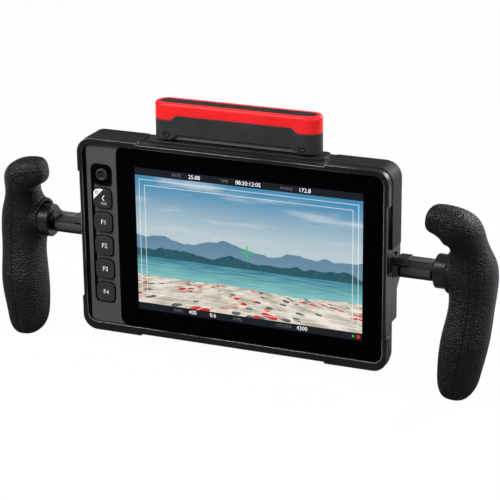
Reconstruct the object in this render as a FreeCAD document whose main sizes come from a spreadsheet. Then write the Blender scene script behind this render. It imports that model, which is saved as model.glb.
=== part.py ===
"""Camera field monitor: a touchscreen with a wireless receiver on top and a swivelling grip at each side.

The origin is the mouth of the quarter-inch thread under the casing. +X is the viewer's right, +Y points away
from the viewer and +Z is up. All sizes are millimetres.
"""
import FreeCAD, Part
import os
import re

import Sketcher

doc = FreeCAD.newDocument("field_monitor")
sheet = doc.addObject("Spreadsheet::Sheet", "Sizes")

# Driving dimensions: alias, value and what it measures
DIMENSIONS = [
    ("body_width", "205", "casing, side to side"),
    ("body_height", "126", "casing, bottom to top"),
    ("body_corner", "8.5", "casing corner radius in the front view"),
    ("casing_wall", "2.5", "rear cover wall"),
    ("thread_setback", "11.5", "glass face to thread axis"),
    ("lip_proud", "1.2", "front lip above the glass"),
    ("lip_width", "2.4", "front lip at the top and the sides"),
    ("lip_foot", "4.4", "front lip at the bottom"),
    ("guard_proud", "1.1", "corner guards beyond the casing"),
    ("guard_run", "40", "corner guards along top and bottom"),
    ("guard_drop", "21", "corner guards along the sides"),
    ("frame_depth", "5.7", "front frame, front to back"),
    ("low_depth", "6", "rear cover behind the frame, lowest part"),
    ("mid_depth", "14.5", "rear cover behind the frame, middle part"),
    ("top_depth", "20", "rear cover behind the frame, upper part"),
    ("ledge_height", "28", "connector ledge above the bottom"),
    ("step_height", "47", "foot of the slope to the upper part"),
    ("block_width", "44", "thread block between the connectors"),
    ("fit_gap", "0.25", "clearance round pieces that drop into place"),
    ("glass_thickness", "1.3", "cover glass and front plate"),
    ("glass_corner", "5", "cover glass corner radius beside the front plate"),
    ("plate_corner", "3", "front plate and battery plate corner radius"),
    ("plate_gap", "2.4", "groove left of the front plate"),
    ("plate_width", "20.8", "front plate beside the glass"),
    ("bezel_left", "38.6", "casing side to the active picture, at the keys"),
    ("bezel_right", "15.6", "casing side to the active picture, right"),
    ("bezel_top", "14.575", "casing top to the active picture"),
    ("bezel_foot", "17.175", "casing bottom to the active picture"),
    ("panel_border", "4.6", "panel round the active picture"),
    ("panel_thickness", "3.2", "display panel"),
    ("tray_border", "2", "backlight tray beyond the panel"),
    ("tray_thickness", "1.8", "backlight tray"),
    ("board_thickness", "1.6", "main circuit board"),
    ("standoff_height", "1.8", "backlight tray to main board"),
    ("standoff_radius", "2.5", "board standoffs"),
    ("board_inset", "14", "main board inside the panel, each side"),
    ("sink_gap", "11.5", "fan housing to heat spreader"),
    ("sink_inset", "18", "heat spreader from the board's right end"),
    ("sink_lift", "17.3", "heat spreader above the slope"),
    ("sink_base", "3", "heat spreader base"),
    ("fin_height", "7.5", "heat spreader fins"),
    ("fin_width", "1.6", "one fin"),
    ("fin_pitch", "6", "fin spacing"),
    ("column_inset", "15", "key column middle from the casing side"),
    ("column_edge", "1.3", "front plate opening beside the key caps"),
    ("column_margin", "1.05", "front plate opening above and below the key caps"),
    ("column_corner", "4", "key opening corner radius"),
    ("key_size", "12.4", "square key caps"),
    ("key_corner", "3.2", "key cap corner radius"),
    ("key_gap", "0.45", "gap round a key cap"),
    ("key_sunk", "0.2", "key caps below the plate face"),
    ("key_travel", "0.8", "key stroke"),
    ("flange_overlap", "0.5", "key flange behind the web, each side"),
    ("flange_room", "1.44", "room between the flanges of two keys"),
    ("flange_thickness", "0.8", "key flange"),
    ("flange_gap", "0.15", "flange to web and to mat"),
    ("web_thickness", "1.2", "key web"),
    ("web_overlap", "0.6", "key web behind the plate, each side"),
    ("mat_overlap", "2", "key mat behind the frame, each side"),
    ("mat_thickness", "0.6", "silicone key mat"),
    ("key_board_thickness", "1", "key circuit board"),
    ("well_radius", "5.3", "joystick well"),
    ("knob_radius", "4", "joystick knob"),
    ("knob_thickness", "2.2", "joystick knob height"),
    ("knob_proud", "0.4", "joystick knob above the plate face"),
    ("stem_radius", "1.5", "joystick stem"),
    ("pivot_depth", "8", "joystick pivot behind the glass face"),
    ("gimbal_thickness", "2.2", "gimbal ring"),
    ("gimbal_size", "8", "square gimbal ring"),
    ("gimbal_bore", "5.2", "opening of the gimbal ring"),
    ("gimbal_swing", "0.35", "room round the tilting ring"),
    ("carrier_size", "11.6", "square joystick carrier"),
    ("carrier_thickness", "3", "joystick carrier"),
    ("slide_gap", "0.08", "running clearance of slides and pivots"),
    ("pin_radius", "0.6", "gimbal pins"),
    ("press_travel", "0.5", "joystick press"),
    ("housing_wall", "1.2", "joystick housing walls"),
    ("bumper_proud", "1.6", "rubber bumper above the casing"),
    ("bumper_seat", "0.6", "bumper sunk into the casing"),
    ("bumper_run", "39.5", "bumper along the top"),
    ("bumper_clear", "3.9", "bumper above the recess of the post"),
    ("bumper_depth", "16.2", "bumper, front to back"),
    ("receiver_inset", "3.5", "receiver inside its base plate, each side"),
    ("receiver_depth", "16", "receiver, front to back"),
    ("receiver_setback", "7.3", "receiver front behind the glass face"),
    ("receiver_top", "26.5", "receiver top above the casing"),
    ("end_flat", "0.1", "half the flat left at the middle of the receiver's round ends"),
    ("receiver_wall", "1.8", "receiver walls"),
    ("cap_height", "7.5", "red cap at mid width"),
    ("cap_drop", "3.2", "red cap reaches lower at the ends"),
    ("cap_tail", "13", "length of the cap's lower ends"),
    ("cap_slope", "3.8", "width of the slope at the cap's lower ends"),
    ("cap_round", "2", "rounding along the cap's upper edge"),
    ("inlay_border", "3", "cap rim round the inlay"),
    ("inlay_thickness", "0.8", "top inlay"),
    ("skirt_cut", "1.5", "depth of the cut along the lower front"),
    ("skirt_height", "3.2", "height of that cut"),
    ("dock_clear", "4.5", "receiver base plate to the bumpers"),
    ("dock_depth", "16.5", "receiver base plate, front to back"),
    ("dock_thickness", "1.6", "receiver base plate"),
    ("dock_corner", "4", "base plate corner radius"),
    ("neck_inset", "5", "receiver neck inside the receiver, each side"),
    ("neck_depth", "11", "receiver neck, front to back"),
    ("neck_height", "1.9", "receiver neck"),
    ("aerial_board", "1.2", "aerial board thickness"),
    ("aerial_size", "12", "square aerial patches"),
    ("aerial_gap", "7", "room between aerial patches"),
    ("aerial_spare", "1", "board ends beyond the outer patches' share"),
    ("aerial_thickness", "0.8", "aerial patches"),
    ("screw_radius", "1.7", "receiver screw heads"),
    ("screw_inset", "10", "receiver screws from its ends"),
    ("plug_width", "18", "receiver connector"),
    ("plug_depth", "6", "receiver connector, front to back"),
    ("plug_length", "11", "receiver connector below the base plate"),
    ("post_setback", "13", "post axis behind the glass face"),
    ("post_radius", "6.25", "post shoulder at the collar"),
    ("post_core", "3.4", "post core between its tube and its rail"),
    ("shoulder_length", "1", "post shoulder at the collar"),
    ("tube_radius", "5.1", "post tube"),
    ("tube_drop", "1.9", "post tube below the post axis"),
    ("tube_gap", "0.6", "grooves at the ends of the post tube"),
    ("hub_proud", "0.6", "post hub and pad beyond the tube and the rail"),
    ("hub_gap", "0.4", "post hub from the casing side"),
    ("hub_start", "3.4", "post hub end from the casing side"),
    ("hub_length", "6.9", "pad on the rail beside the casing"),
    ("rail_half", "3.6", "half depth of the flat rail on the post"),
    ("rail_rise", "5.9", "rail top above the post axis"),
    ("catch_length", "7.5", "sloping catch on the rail"),
    ("catch_depth", "1.6", "catch, front to back"),
    ("catch_thickness", "2.2", "catch thickness"),
    ("rod_end", "27.2", "rod shoulder from the casing side"),
    ("spindle_radius", "4.5", "spindle inside the grip"),
    ("stud_radius", "5", "threaded stud of the post"),
    ("stud_length", "9", "stud inside the casing"),
    ("socket_radius", "6.7", "side socket"),
    ("socket_length", "11", "side socket"),
    ("socket_recess", "1.2", "recess round the side socket"),
    ("recess_radius", "8.3", "recess radius"),
    ("collar_radius", "10.6", "lock collar"),
    ("collar_length", "7.1", "lock collar"),
    ("collar_chamfer", "0.6", "chamfer of the lock collar"),
    ("collar_play", "0.1", "lock collar and grip end play"),
    ("core_radius", "8", "grip core"),
    ("core_length", "15", "grip core"),
    ("bolt_radius", "6", "retaining bolt head"),
    ("bolt_head", "3", "retaining bolt head height"),
    ("bolt_shank", "2.5", "retaining bolt shank radius"),
    ("bolt_length", "12", "retaining bolt shank"),
    ("bolt_room", "0.6", "room round the bolt head"),
    ("grip_axis", "50.6", "grip middle from the casing side"),
    ("grip_drop", "75.2", "grip below the post axis"),
    ("grip_rise", "39.5", "horn middle above the post axis"),
    ("grip_radius", "13.8", "grip half width at the palm"),
    ("grip_flare", "1.1", "grip front to back over side to side"),
    ("grip_bow", "14", "grip middle behind its ends"),
    ("grip_forward", "0.5", "grip middle in front of the post axis"),
    ("horn_reach", "26.5", "horn tip inward of the grip middle"),
    ("boss_radius", "13.5", "grip boss at the collar"),
    ("boss_back", "2", "boss middle behind the post axis"),
    ("insert_radius", "4.3", "thread insert"),
    ("insert_length", "12", "thread insert"),
    ("thread_radius", "3.175", "quarter-inch thread"),
    ("battery_width", "41", "battery plate"),
    ("battery_tall", "62", "battery plate height"),
    ("battery_thickness", "5.5", "battery plate"),
    ("battery_drop", "5", "battery plate below the casing top"),
    ("rail_width", "5", "battery rails"),
    ("rail_depth", "2.6", "channel between the rails"),
    ("latch_width", "12", "battery latch"),
    ("latch_tall", "8", "battery latch height"),
    ("latch_travel", "3", "battery latch stroke"),
    ("latch_proud", "0.8", "latch thumb piece above the plate"),
    ("blade_width", "1.6", "battery contact blades"),
    ("blade_pitch", "6", "contact spacing"),
    ("fan_size", "40", "square fan housing"),
    ("fan_depth", "8", "fan housing, front to back"),
    ("fan_inset", "46.5", "fan axis from the casing side"),
    ("fan_drop", "35", "fan axis below the casing top"),
    ("fan_wall", "1.5", "fan housing walls"),
    ("fan_gap", "0.8", "room round the fan blades"),
    ("rotor_hub", "7", "fan hub radius"),
    ("rotor_pin", "1.5", "fan pin radius"),
    ("slot_width", "2.6", "cooling slots"),
    ("slot_pitch", "4.8", "cooling slot spacing"),
    ("slot_tall", "34", "cooling slot height"),
    ("jack_radius", "3.9", "round connectors"),
    ("jack_length", "6", "round connectors below the ledge"),
    ("jack_bore", "2.9", "round connector bore"),
    ("tail_radius", "1.7", "connector tail inside the cover"),
    ("tail_length", "9", "connector tail"),
    ("coax_inset", "26.6", "outer coax jack from the casing side"),
    ("coax_pitch", "22.6", "coax jack spacing"),
    ("power_inset", "26.6", "power socket from the casing side"),
    ("port_pitch", "24.7", "power socket to video socket"),
    ("port_width", "15", "video socket"),
    ("port_depth", "4.4", "video socket, front to back"),
    ("port_wall", "0.6", "video socket shell"),
    ("head_radius", "2.1", "cover screw heads"),
    ("head_height", "1.2", "cover screw heads"),
    ("shank_radius", "1.1", "cover screw shanks"),
    ("shank_length", "3", "cover screw shanks"),
    ("tower_radius", "2.6", "screw towers"),
    ("tower_sunk", "0.6", "screw towers sunk into the wall beside them"),
    ("screw_inner", "34.2", "inner cover screws from the thread axis"),
]
for row, (alias, value, meaning) in enumerate(DIMENSIONS, start=1):
    sheet.set(f"A{row}", meaning)
    sheet.set(f"B{row}", value)
    sheet.setAlias(f"B{row}", alias)
doc.recompute()

# Steps from the joystick down to the last key
KEY_STEPS = 5
# Places worked out from the driving dimensions
PLACES = {
    "side": "body_width / 2",
    "screen_offset": "(bezel_left - bezel_right) / 2",
    "screen_height": "(body_height + bezel_foot - bezel_top) / 2",
    "screen_width": "body_width - bezel_left - bezel_right",
    "screen_tall": "body_height - bezel_top - bezel_foot",
    "glass_face": "-thread_setback",
    "lip_face": "glass_face - lip_proud",
    "tray_floor": "glass_face + glass_thickness",
    "split": "lip_face + frame_depth",
    "low_back": "split + low_depth",
    "mid_back": "split + mid_depth",
    "top_back": "split + top_depth",
    "step_top": "step_height + top_depth - mid_depth",
    "well_left": "-side + lip_width",
    "plate_left": "well_left + plate_gap",
    "plate_right": "plate_left + plate_width",
    "plate_tip": "plate_right + 3 / 5 * glass_corner",
    "panel_half": "screen_width / 2 + panel_border",
    "panel_rise": "screen_tall / 2 + panel_border",
    "tray_back": "split + tray_thickness",
    "tray_foot": "screen_height - panel_rise - tray_border",
    "board_front": "tray_back + standoff_height",
    "board_back": "board_front + board_thickness",
    "board_half": "panel_half - board_inset",
    "board_foot": "ledge_height + casing_wall + 2 * fit_gap",
    "board_head": "screen_height + panel_rise - fit_gap",
    "fan_offset": "side - fan_inset",
    "fan_height": "body_height - fan_drop",
    "sink_left": "-fan_offset + fan_size / 2 + sink_gap",
    "sink_right": "screen_offset + board_half - sink_inset",
    "column_x": "-side + column_inset",
    "key_pitch": "key_size + 2 * (key_gap + flange_overlap) + flange_room",
    "column_width": "key_size + 2 * column_edge",
    "column_tall": f"{KEY_STEPS} * key_pitch + key_size + 2 * column_margin",
    "web_back": "tray_floor + web_thickness",
    "cap_half": "key_size / 2",
    "flange_half": "key_size / 2 + key_gap + flange_overlap",
    "flange_front": "web_back + flange_gap",
    "flange_back": "flange_front + flange_thickness",
    "mat_front": "split",
    "mat_back": "mat_front + mat_thickness",
    "joystick_z": f"screen_height + {KEY_STEPS / 2} * key_pitch",
    "pivot_y": "glass_face + pivot_depth",
    "gimbal_room": "gimbal_size / 2 + gimbal_swing",
    "carrier_half": "carrier_size / 2",
    "carrier_front": "pivot_y - carrier_thickness / 2",
    "carrier_back": "pivot_y + carrier_thickness / 2",
    "housing_half": "carrier_half + slide_gap + housing_wall",
    "housing_floor": "carrier_back + press_travel + fit_gap + gimbal_swing",
    "bumper_front": "split",
    "bumper_back": "split + bumper_depth",
    "receiver_front": "glass_face + receiver_setback",
    "receiver_back": "receiver_front + receiver_depth",
    "receiver_mid": "receiver_front + receiver_depth / 2",
    "dock_width": "body_width - 2 * (bumper_run + dock_clear)",
    "receiver_width": "dock_width - 2 * receiver_inset",
    "receiver_half": "receiver_width / 2",
    "neck_width": "receiver_width - 2 * neck_inset",
    "cap_step": "receiver_width - 2 * cap_tail",
    "screw_spread": "receiver_width - 2 * screw_inset",
    "aerial_pitch": "aerial_size + aerial_gap",
    "dock_top": "body_height + dock_thickness",
    "shell_foot": "dock_top + neck_height",
    "receiver_crown": "body_height + receiver_top",
    "cap_foot": "receiver_crown - cap_height",
    "cap_ends": "cap_foot - cap_drop",
    "cap_floor": "receiver_crown - inlay_thickness",
    "post_y": "glass_face + post_setback",
    "post_height": "screen_height",
    "spindle_end": "rod_end + collar_length + 2 * collar_play + core_length + collar_play",
    "core_start": "rod_end + collar_length + 2 * collar_play",
    "battery_back": "top_back + battery_thickness",
    "battery_head": "body_height - battery_drop",
    "battery_foot": "battery_head - battery_tall",
    "latch_foot": "battery_foot + casing_wall + latch_travel",
    "fan_back": "top_back - casing_wall",
    "fan_front": "fan_back - fan_depth",
    "rotor_radius": "fan_size / 2 - fan_wall - fan_gap",
    "jack_y": "low_back + jack_radius + fit_gap",
    "port_middle": "jack_y - jack_radius / 4",
    "coax_outer": "side - coax_inset",
    "coax_inner": "coax_outer - coax_pitch",
    "power_offset": "side - power_inset",
    "port_offset": "power_offset - port_pitch",
    "screw_rise": "body_height - screw_sink",
    "screw_sink": "casing_wall + tower_radius - tower_sunk",
}
ALIASES = {alias for alias, value, meaning in DIMENSIONS}
AXES = {"X": FreeCAD.Vector(1, 0, 0), "Y": FreeCAD.Vector(0, 1, 0), "Z": FreeCAD.Vector(0, 0, 1)}
# Turns that bring a piece modelled along Z or X onto another axis
Z_TO_X = FreeCAD.Rotation(AXES["Y"], 90)
Z_TO_Y = FreeCAD.Rotation(AXES["X"], -90)
X_TO_Y = FreeCAD.Rotation(AXES["Z"], 90)
X_TO_DOWN = FreeCAD.Rotation(AXES["Y"], 90)
# Places closer than this count as one
SAME_PLACE = 0.01
nodes = []


def formula(text):
    """The expression for a text that uses aliases and named places."""
    def swap(match):
        word = match.group(0)
        if word in ALIASES:
            return "Sizes." + word
        return "(" + formula(PLACES[word]) + ")"
    return re.sub(r"[a-z_]+", swap, text)


def value(text):
    """The number that a text of aliases and places works out to."""
    gauge = doc.getObject("Gauge") or doc.addObject("App::FeaturePython", "Gauge")
    if not hasattr(gauge, "Reading"):
        gauge.addProperty("App::PropertyFloat", "Reading")
    gauge.setExpression("Reading", formula(text))
    gauge.recompute()
    return gauge.Reading


def bind(thing, **texts):
    """Bind properties of a document object to the sheet."""
    for name, text in texts.items():
        thing.setExpression(name, formula(text))


def place(thing, x="0", y="0", z="0", turn=None):
    """Put an object at a point given in aliases and places."""
    if turn:
        thing.Placement = FreeCAD.Placement(FreeCAD.Vector(), turn)
    for axis, text in zip("xyz", (x, y, z)):
        thing.setExpression("Placement.Base." + axis, formula(text))


def node(label, thing):
    """Name a finished sub-part."""
    thing.Label = label
    nodes.append(thing)
    return thing


def box(x, y, z):
    """A box between pairs of places along X, Y and Z."""
    block = doc.addObject("Part::Box", "Block")
    spans = [f"({end}) - ({start})" for start, end in (x, y, z)]
    bind(block, Length=spans[0], Width=spans[1], Height=spans[2])
    place(block, x[0], y[0], z[0])
    return block


def edges_along(feature, axis):
    """Names of a feature's straight edges that run along an axis."""
    names = []
    for number, edge in enumerate(feature.Shape.Edges, start=1):
        if abs(edge.tangentAt(edge.FirstParameter).dot(AXES[axis])) > 0.999:
            names.append(f"Edge{number}")
    return names


def rounded(x, y, z, along, radius):
    """A box whose edges along one axis are rounded."""
    body = doc.addObject("PartDesign::Body", "Rounded")
    block = body.newObject("PartDesign::AdditiveBox", "RoundedBlock")
    spans = [f"({end}) - ({start})" for start, end in (x, y, z)]
    bind(block, Length=spans[0], Width=spans[1], Height=spans[2])
    place(body, x[0], y[0], z[0])
    doc.recompute()
    rounding = body.newObject("PartDesign::Fillet", "RoundedCorners")
    rounding.Base = (block, edges_along(block, along))
    bind(rounding, Radius=radius)
    return body


def rod(axis, x, y, z, radius, length):
    """A cylinder that starts at a point and runs along +X, +Y or +Z."""
    bar = doc.addObject("Part::Cylinder", "Rod")
    bind(bar, Radius=radius, Height=length)
    place(bar, x, y, z, {"X": Z_TO_X, "Y": Z_TO_Y, "Z": None}[axis])
    return bar


def fuse(*pieces):
    """Several pieces as one."""
    union = doc.addObject("Part::MultiFuse", "Union")
    union.Shapes = list(pieces)
    return union


def cut(base, *tools):
    """A piece without the room of others."""
    difference = doc.addObject("Part::Cut", "Difference")
    difference.Base = base
    difference.Tool = tools[0] if len(tools) == 1 else fuse(*tools)
    return difference


def common(one, other):
    """The room that two pieces share."""
    shared = doc.addObject("Part::Common", "Shared")
    shared.Base = one
    shared.Tool = other
    return shared


def mirrored(thing):
    """The same piece on the other side of the casing."""
    twin = doc.addObject("Part::Mirroring", "Twin")
    twin.Source = thing
    twin.Normal = AXES["X"]
    return twin


def profile(body, plane, points):
    """A closed sketch through points, each coordinate bound to the sheet."""
    sketch = body.newObject("Sketcher::SketchObject", "Profile")
    support = [item for item in body.Origin.OriginFeatures if item.Role == plane]
    sketch.AttachmentSupport = [(support[0], "")]
    sketch.MapMode = "FlatFace"
    corners = [FreeCAD.Vector(value(along), value(across), 0) for along, across in points]
    count = len(corners)
    for index in range(count):
        sketch.addGeometry(Part.LineSegment(corners[index], corners[(index + 1) % count]))
    for index in range(count):
        sketch.addConstraint(Sketcher.Constraint("Coincident", index, 2, (index + 1) % count, 1))
    for index, texts in enumerate(points):
        for kind, text in zip(("DistanceX", "DistanceY"), texts):
            rule = Sketcher.Constraint(kind, -1, 1, index, 1, value(text))
            number = sketch.addConstraint(rule)
            sketch.setExpression(f"Constraints[{number}]", formula(text))
    return sketch


def turned(points, x="0", y="0", z="0", turn=None):
    """A piece turned about its own X axis from a profile of (along, radius) points."""
    body = doc.addObject("PartDesign::Body", "Turned")
    sketch = profile(body, "XY_Plane", points)
    doc.recompute()
    revolution = body.newObject("PartDesign::Revolution", "Turning")
    revolution.Profile = sketch
    revolution.ReferenceAxis = (sketch, ["H_Axis"])
    revolution.Angle = 360
    place(body, x, y, z, turn)
    return body


def padded(plane, points, length):
    """A profile padded to both sides of its plane."""
    body = doc.addObject("PartDesign::Body", "Padded")
    sketch = profile(body, plane, points)
    doc.recompute()
    pad = body.newObject("PartDesign::Pad", "Padding")
    pad.Profile = sketch
    pad.Midplane = True
    bind(pad, Length=length)
    return body


def across(half, middle="0"):
    """A pair of places the same way either side of a middle."""
    return (f"{middle} - ({half})", f"{middle} + ({half})")


def corner_boxes(run, drop, y, foot, head):
    """Boxes over the four corners of a front view."""
    blocks = []
    for x in (("-2 * side", f"-side + {run}"), (f"side - {run}", "2 * side")):
        for z in ((f"{foot} - side", f"{foot} + {drop}"), (f"{head} - {drop}", f"{head} + side")):
            blocks.append(box(x, y, z))
    return fuse(*blocks)


# Front frame: the outer lip, four thicker corner guards and a floor with openings for panel and keys
frame_y = ("lip_face", "split")
lip = rounded(across("side"), frame_y, ("0", "body_height"), "Y", "body_corner")
guard_block = rounded(across("side + guard_proud"), frame_y, ("-guard_proud", "body_height + guard_proud"),
                      "Y", "body_corner + guard_proud")
guards = common(guard_block, corner_boxes("guard_run", "guard_drop", frame_y, "0", "body_height"))
well = rounded(across("side - lip_width"), ("lip_face - lip_width", "tray_floor"),
               ("lip_foot", "body_height - lip_width"), "Y", "body_corner - lip_width")
through_floor = ("tray_floor - lip_width", "split + lip_width")
panel_room = box(across("panel_half + fit_gap", "screen_offset"), through_floor,
                 across("panel_rise + fit_gap", "screen_height"))
web_half = "column_width / 2 + web_overlap"
web_rise = "column_tall / 2 + web_overlap"
web_room = rounded(across(f"{web_half} + fit_gap", "column_x"), through_floor,
                   across(f"{web_rise} + fit_gap", "screen_height"), "Y", "column_corner + web_overlap")
node("front_frame", cut(fuse(lip, guards), well, panel_room, web_room))

# Front plate, cover glass and display
plate_z = ("lip_foot + fit_gap", "body_height - lip_width - fit_gap")
glass_y = ("glass_face", "tray_floor")
plate_long = rounded(("plate_left", "side"), glass_y, plate_z, "Y", "plate_corner")
plate_block = common(plate_long, box(("plate_left", "plate_tip"), glass_y, plate_z))
glass_room = rounded(("plate_right", "2 * side"), frame_y, ("lip_foot", "body_height - lip_width"), "Y",
                     "glass_corner + fit_gap")
key_window = rounded(across("column_width / 2", "column_x"), ("lip_face", "split"),
                     across("column_tall / 2", "screen_height"), "Y", "column_corner")
node("front_plate", cut(plate_block, glass_room, key_window))
glass_left = rounded(("plate_right + fit_gap", "2 * side"), glass_y, plate_z, "Y", "glass_corner")
glass_right = rounded(("0", "side - lip_width - fit_gap"), glass_y, plate_z, "Y", "body_corner - lip_width")
glass_middle = box(("plate_right", "side / 2"), glass_y, plate_z)
node("cover_glass", common(glass_left, fuse(glass_right, glass_middle)))
node("lcd_panel", box(across("panel_half", "screen_offset"), ("tray_floor", "tray_floor + panel_thickness"),
                      across("panel_rise", "screen_height")))
node("backlight_tray", box(across("panel_half + tray_border", "screen_offset"), ("split", "tray_back"),
                           across("panel_rise + tray_border", "screen_height")))

# Main board on standoffs, with a finned heat spreader
board_x = across("board_half", "screen_offset")
board_z = ("board_foot", "board_head")
node("main_board", box(board_x, ("board_front", "board_back"), board_z))
stand_x = across("board_half - 2 * standoff_radius", "screen_offset")
stand_z = ("board_foot + 2 * standoff_radius", "board_head - 2 * standoff_radius")
stands = []
for x in stand_x:
    for z in stand_z:
        stands.append(rod("Y", x, "tray_back", z, "standoff_radius", "standoff_height"))
node("board_standoffs", fuse(*stands))
sink_z = ("step_top + sink_lift", "board_head")
sink_y = ("board_back", "board_back + sink_base")
sink = [box(("sink_left", "sink_right"), sink_y, sink_z)]
fin_y = ("board_back", "board_back + sink_base + fin_height")
fin_count = int(value("(sink_right - sink_left - fin_width) / fin_pitch")) + 1
for fin in range(fin_count):
    start = f"sink_left + {fin} * fin_pitch"
    sink.append(box((start, start + " + fin_width"), fin_y, sink_z))
node("heat_spreader", fuse(*sink))

# Rear cover: a stepped shell with a thread block, screw towers, cooling slots and sockets for the side posts


def stepped(inset, depth_inset):
    """The stepped room behind the frame, drawn in by an inset on every side but the front."""
    points = [
        ("split", inset),
        (f"low_back - {depth_inset}", inset),
        (f"low_back - {depth_inset}", f"ledge_height + {inset}"),
        (f"mid_back - {depth_inset}", f"ledge_height + {inset}"),
        (f"mid_back - {depth_inset}", f"step_height + {inset} / 2"),
        (f"top_back - {depth_inset}", f"step_top + {inset} / 2"),
        (f"top_back - {depth_inset}", f"body_height - {inset}"),
        ("split", f"body_height - {inset}"),
    ]
    body = padded("YZ_Plane", points, f"body_width - 2 * {inset}")
    doc.recompute()
    pad = body.Tip
    box_of_pad = pad.Shape.BoundBox
    ends = []
    for name in edges_along(pad, "Y"):
        middle = pad.getSubObject(name).CenterOfMass
        if abs(middle.z - box_of_pad.ZMin) < SAME_PLACE or abs(middle.z - box_of_pad.ZMax) < SAME_PLACE:
            ends.append(name)
    rounding = body.newObject("PartDesign::Fillet", "CasingCorners")
    rounding.Base = (pad, ends)
    bind(rounding, Radius=f"body_corner - {inset}")
    return body


def bumper_band(seat, proud):
    """The L-shaped band over the right upper corner, between two outlines of the casing."""
    band_y = ("bumper_front", "bumper_back")
    foot = "post_height + recess_radius + bumper_clear"
    outer = rounded(across(f"side + {proud}"), band_y, ("0", f"body_height + {proud}"), "Y",
                    f"body_corner + {proud}")
    inner = rounded(across(f"side - {seat}"), ("bumper_front - lip_width", "bumper_back + lip_width"),
                    ("-lip_width", f"body_height - {seat}"), "Y", f"body_corner - {seat}")
    corner = box(("side - bumper_run", "2 * side"), band_y, (foot, "body_height + side"))
    return common(cut(outer, inner), corner)


bumper_right = node("bumper_top_right", bumper_band("bumper_seat", "bumper_proud"))
bumper_left = node("bumper_top_left", mirrored(bumper_right))
block_x = across("block_width / 2")
block_room = fuse(box(block_x, ("tray_back + fit_gap", "mid_back"), ("0", "ledge_height + casing_wall")),
                  box(block_x, ("split", "mid_back"), ("0", "tray_foot - fit_gap")))
screw_x = (*across("side - body_corner - tower_radius"), *across("screw_inner"))
screw_rows = [("screw_rise", "top_back"), ("screw_sink", "low_back")]
towers = []
screw_rooms = []
screws = []
for x in screw_x:
    for z, back in screw_rows:
        towers.append(rod("Y", x, "split", z, "tower_radius", f"{back} - casing_wall - split"))
        seat = f"{back} - head_height"
        tip = f"{seat} - shank_length"
        screw_rooms.append(rod("Y", x, seat, z, "head_radius + slide_gap", "2 * head_height"))
        screw_rooms.append(rod("Y", x, tip, z, "shank_radius", "shank_length"))
        screws.append(rod("Y", x, seat, z, "head_radius", "head_height"))
        screws.append(rod("Y", x, tip, z, "shank_radius", "shank_length"))
rooms = [rod("Z", "0", "0", "0", "insert_radius", "insert_length")]
for start in ("-side - fit_gap", "side - socket_recess"):
    rooms.append(rod("X", start, "post_y", "post_height", "recess_radius", "socket_recess + fit_gap"))
rooms.append(rod("X", "-side - fit_gap", "post_y", "post_height", "socket_radius",
                 "body_width + 2 * fit_gap"))
slot_count = int(value("fan_size / slot_pitch"))
for offset in ("-fan_offset", "fan_offset"):
    for slot in range(slot_count):
        start = f"{offset} + ({slot} - {slot_count - 1} / 2) * slot_pitch - slot_width / 2"
        rooms.append(box((start, start + " + slot_width"), ("fan_back - fit_gap", "top_back + fit_gap"),
                         across("slot_tall / 2", "fan_height")))
rooms.append(box(across("plug_width / 2 + fit_gap"), across("plug_depth / 2 + fit_gap", "receiver_mid"),
                 ("body_height - 2 * casing_wall", "body_height + fit_gap")))
for x in ("-coax_outer", "-coax_inner", "power_offset"):
    rooms.append(rod("Z", x, "jack_y", "ledge_height - fit_gap", "tail_radius", "casing_wall + 2 * fit_gap"))
port_x = across("port_width / 2", "port_offset")
port_y = across("port_depth / 2", "port_middle")
rooms.append(box(port_x, port_y,
                 ("ledge_height - fit_gap", "ledge_height + casing_wall + fit_gap")))
shell = cut(stepped("0", "0"), stepped("casing_wall", "casing_wall"))
node("rear_cover", cut(fuse(shell, block_room, *towers), bumper_right, bumper_left, *screw_rooms, *rooms))
node("rear_screws", fuse(*screws))

# Thread insert in the bottom of the block
node("tripod_insert", cut(rod("Z", "0", "0", "0", "insert_radius", "insert_length"),
                          rod("Z", "0", "0", "-fit_gap", "thread_radius", "insert_length + 2 * fit_gap")))

# Sockets on the ledge
jacks = []
for x in ("-coax_outer", "-coax_inner"):
    jacks.append(turned([("jack_length / 2", "0"), ("jack_length / 2", "jack_bore / 4"),
                         ("port_wall", "jack_bore / 4"), ("port_wall", "jack_bore"),
                         ("jack_length", "jack_bore"), ("jack_length", "jack_radius"),
                         ("0", "jack_radius"), ("0", "tail_radius"),
                         ("-tail_length", "tail_radius"), ("-tail_length", "0")],
                        x, "jack_y", "ledge_height", X_TO_DOWN))
node("coax_jacks", fuse(*jacks))
node("power_socket", turned([("port_wall", "0"), ("port_wall", "jack_bore"), ("jack_length / 2", "jack_bore"),
                             ("jack_length / 2", "jack_radius"), ("0", "jack_radius"), ("0", "tail_radius"),
                             ("-tail_length", "tail_radius"), ("-tail_length", "0")],
                            "power_offset", "jack_y", "ledge_height", X_TO_DOWN))
port_outer = box(port_x, port_y,
                 ("ledge_height - port_wall", "ledge_height + tail_length"))
port_inner = box(across("port_width / 2 - port_wall", "port_offset"),
                 across("port_depth / 2 - port_wall", "port_middle"),
                 ("ledge_height - 2 * port_wall", "ledge_height + tail_length - port_wall"))
node("video_socket", cut(port_outer, port_inner))

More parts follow.
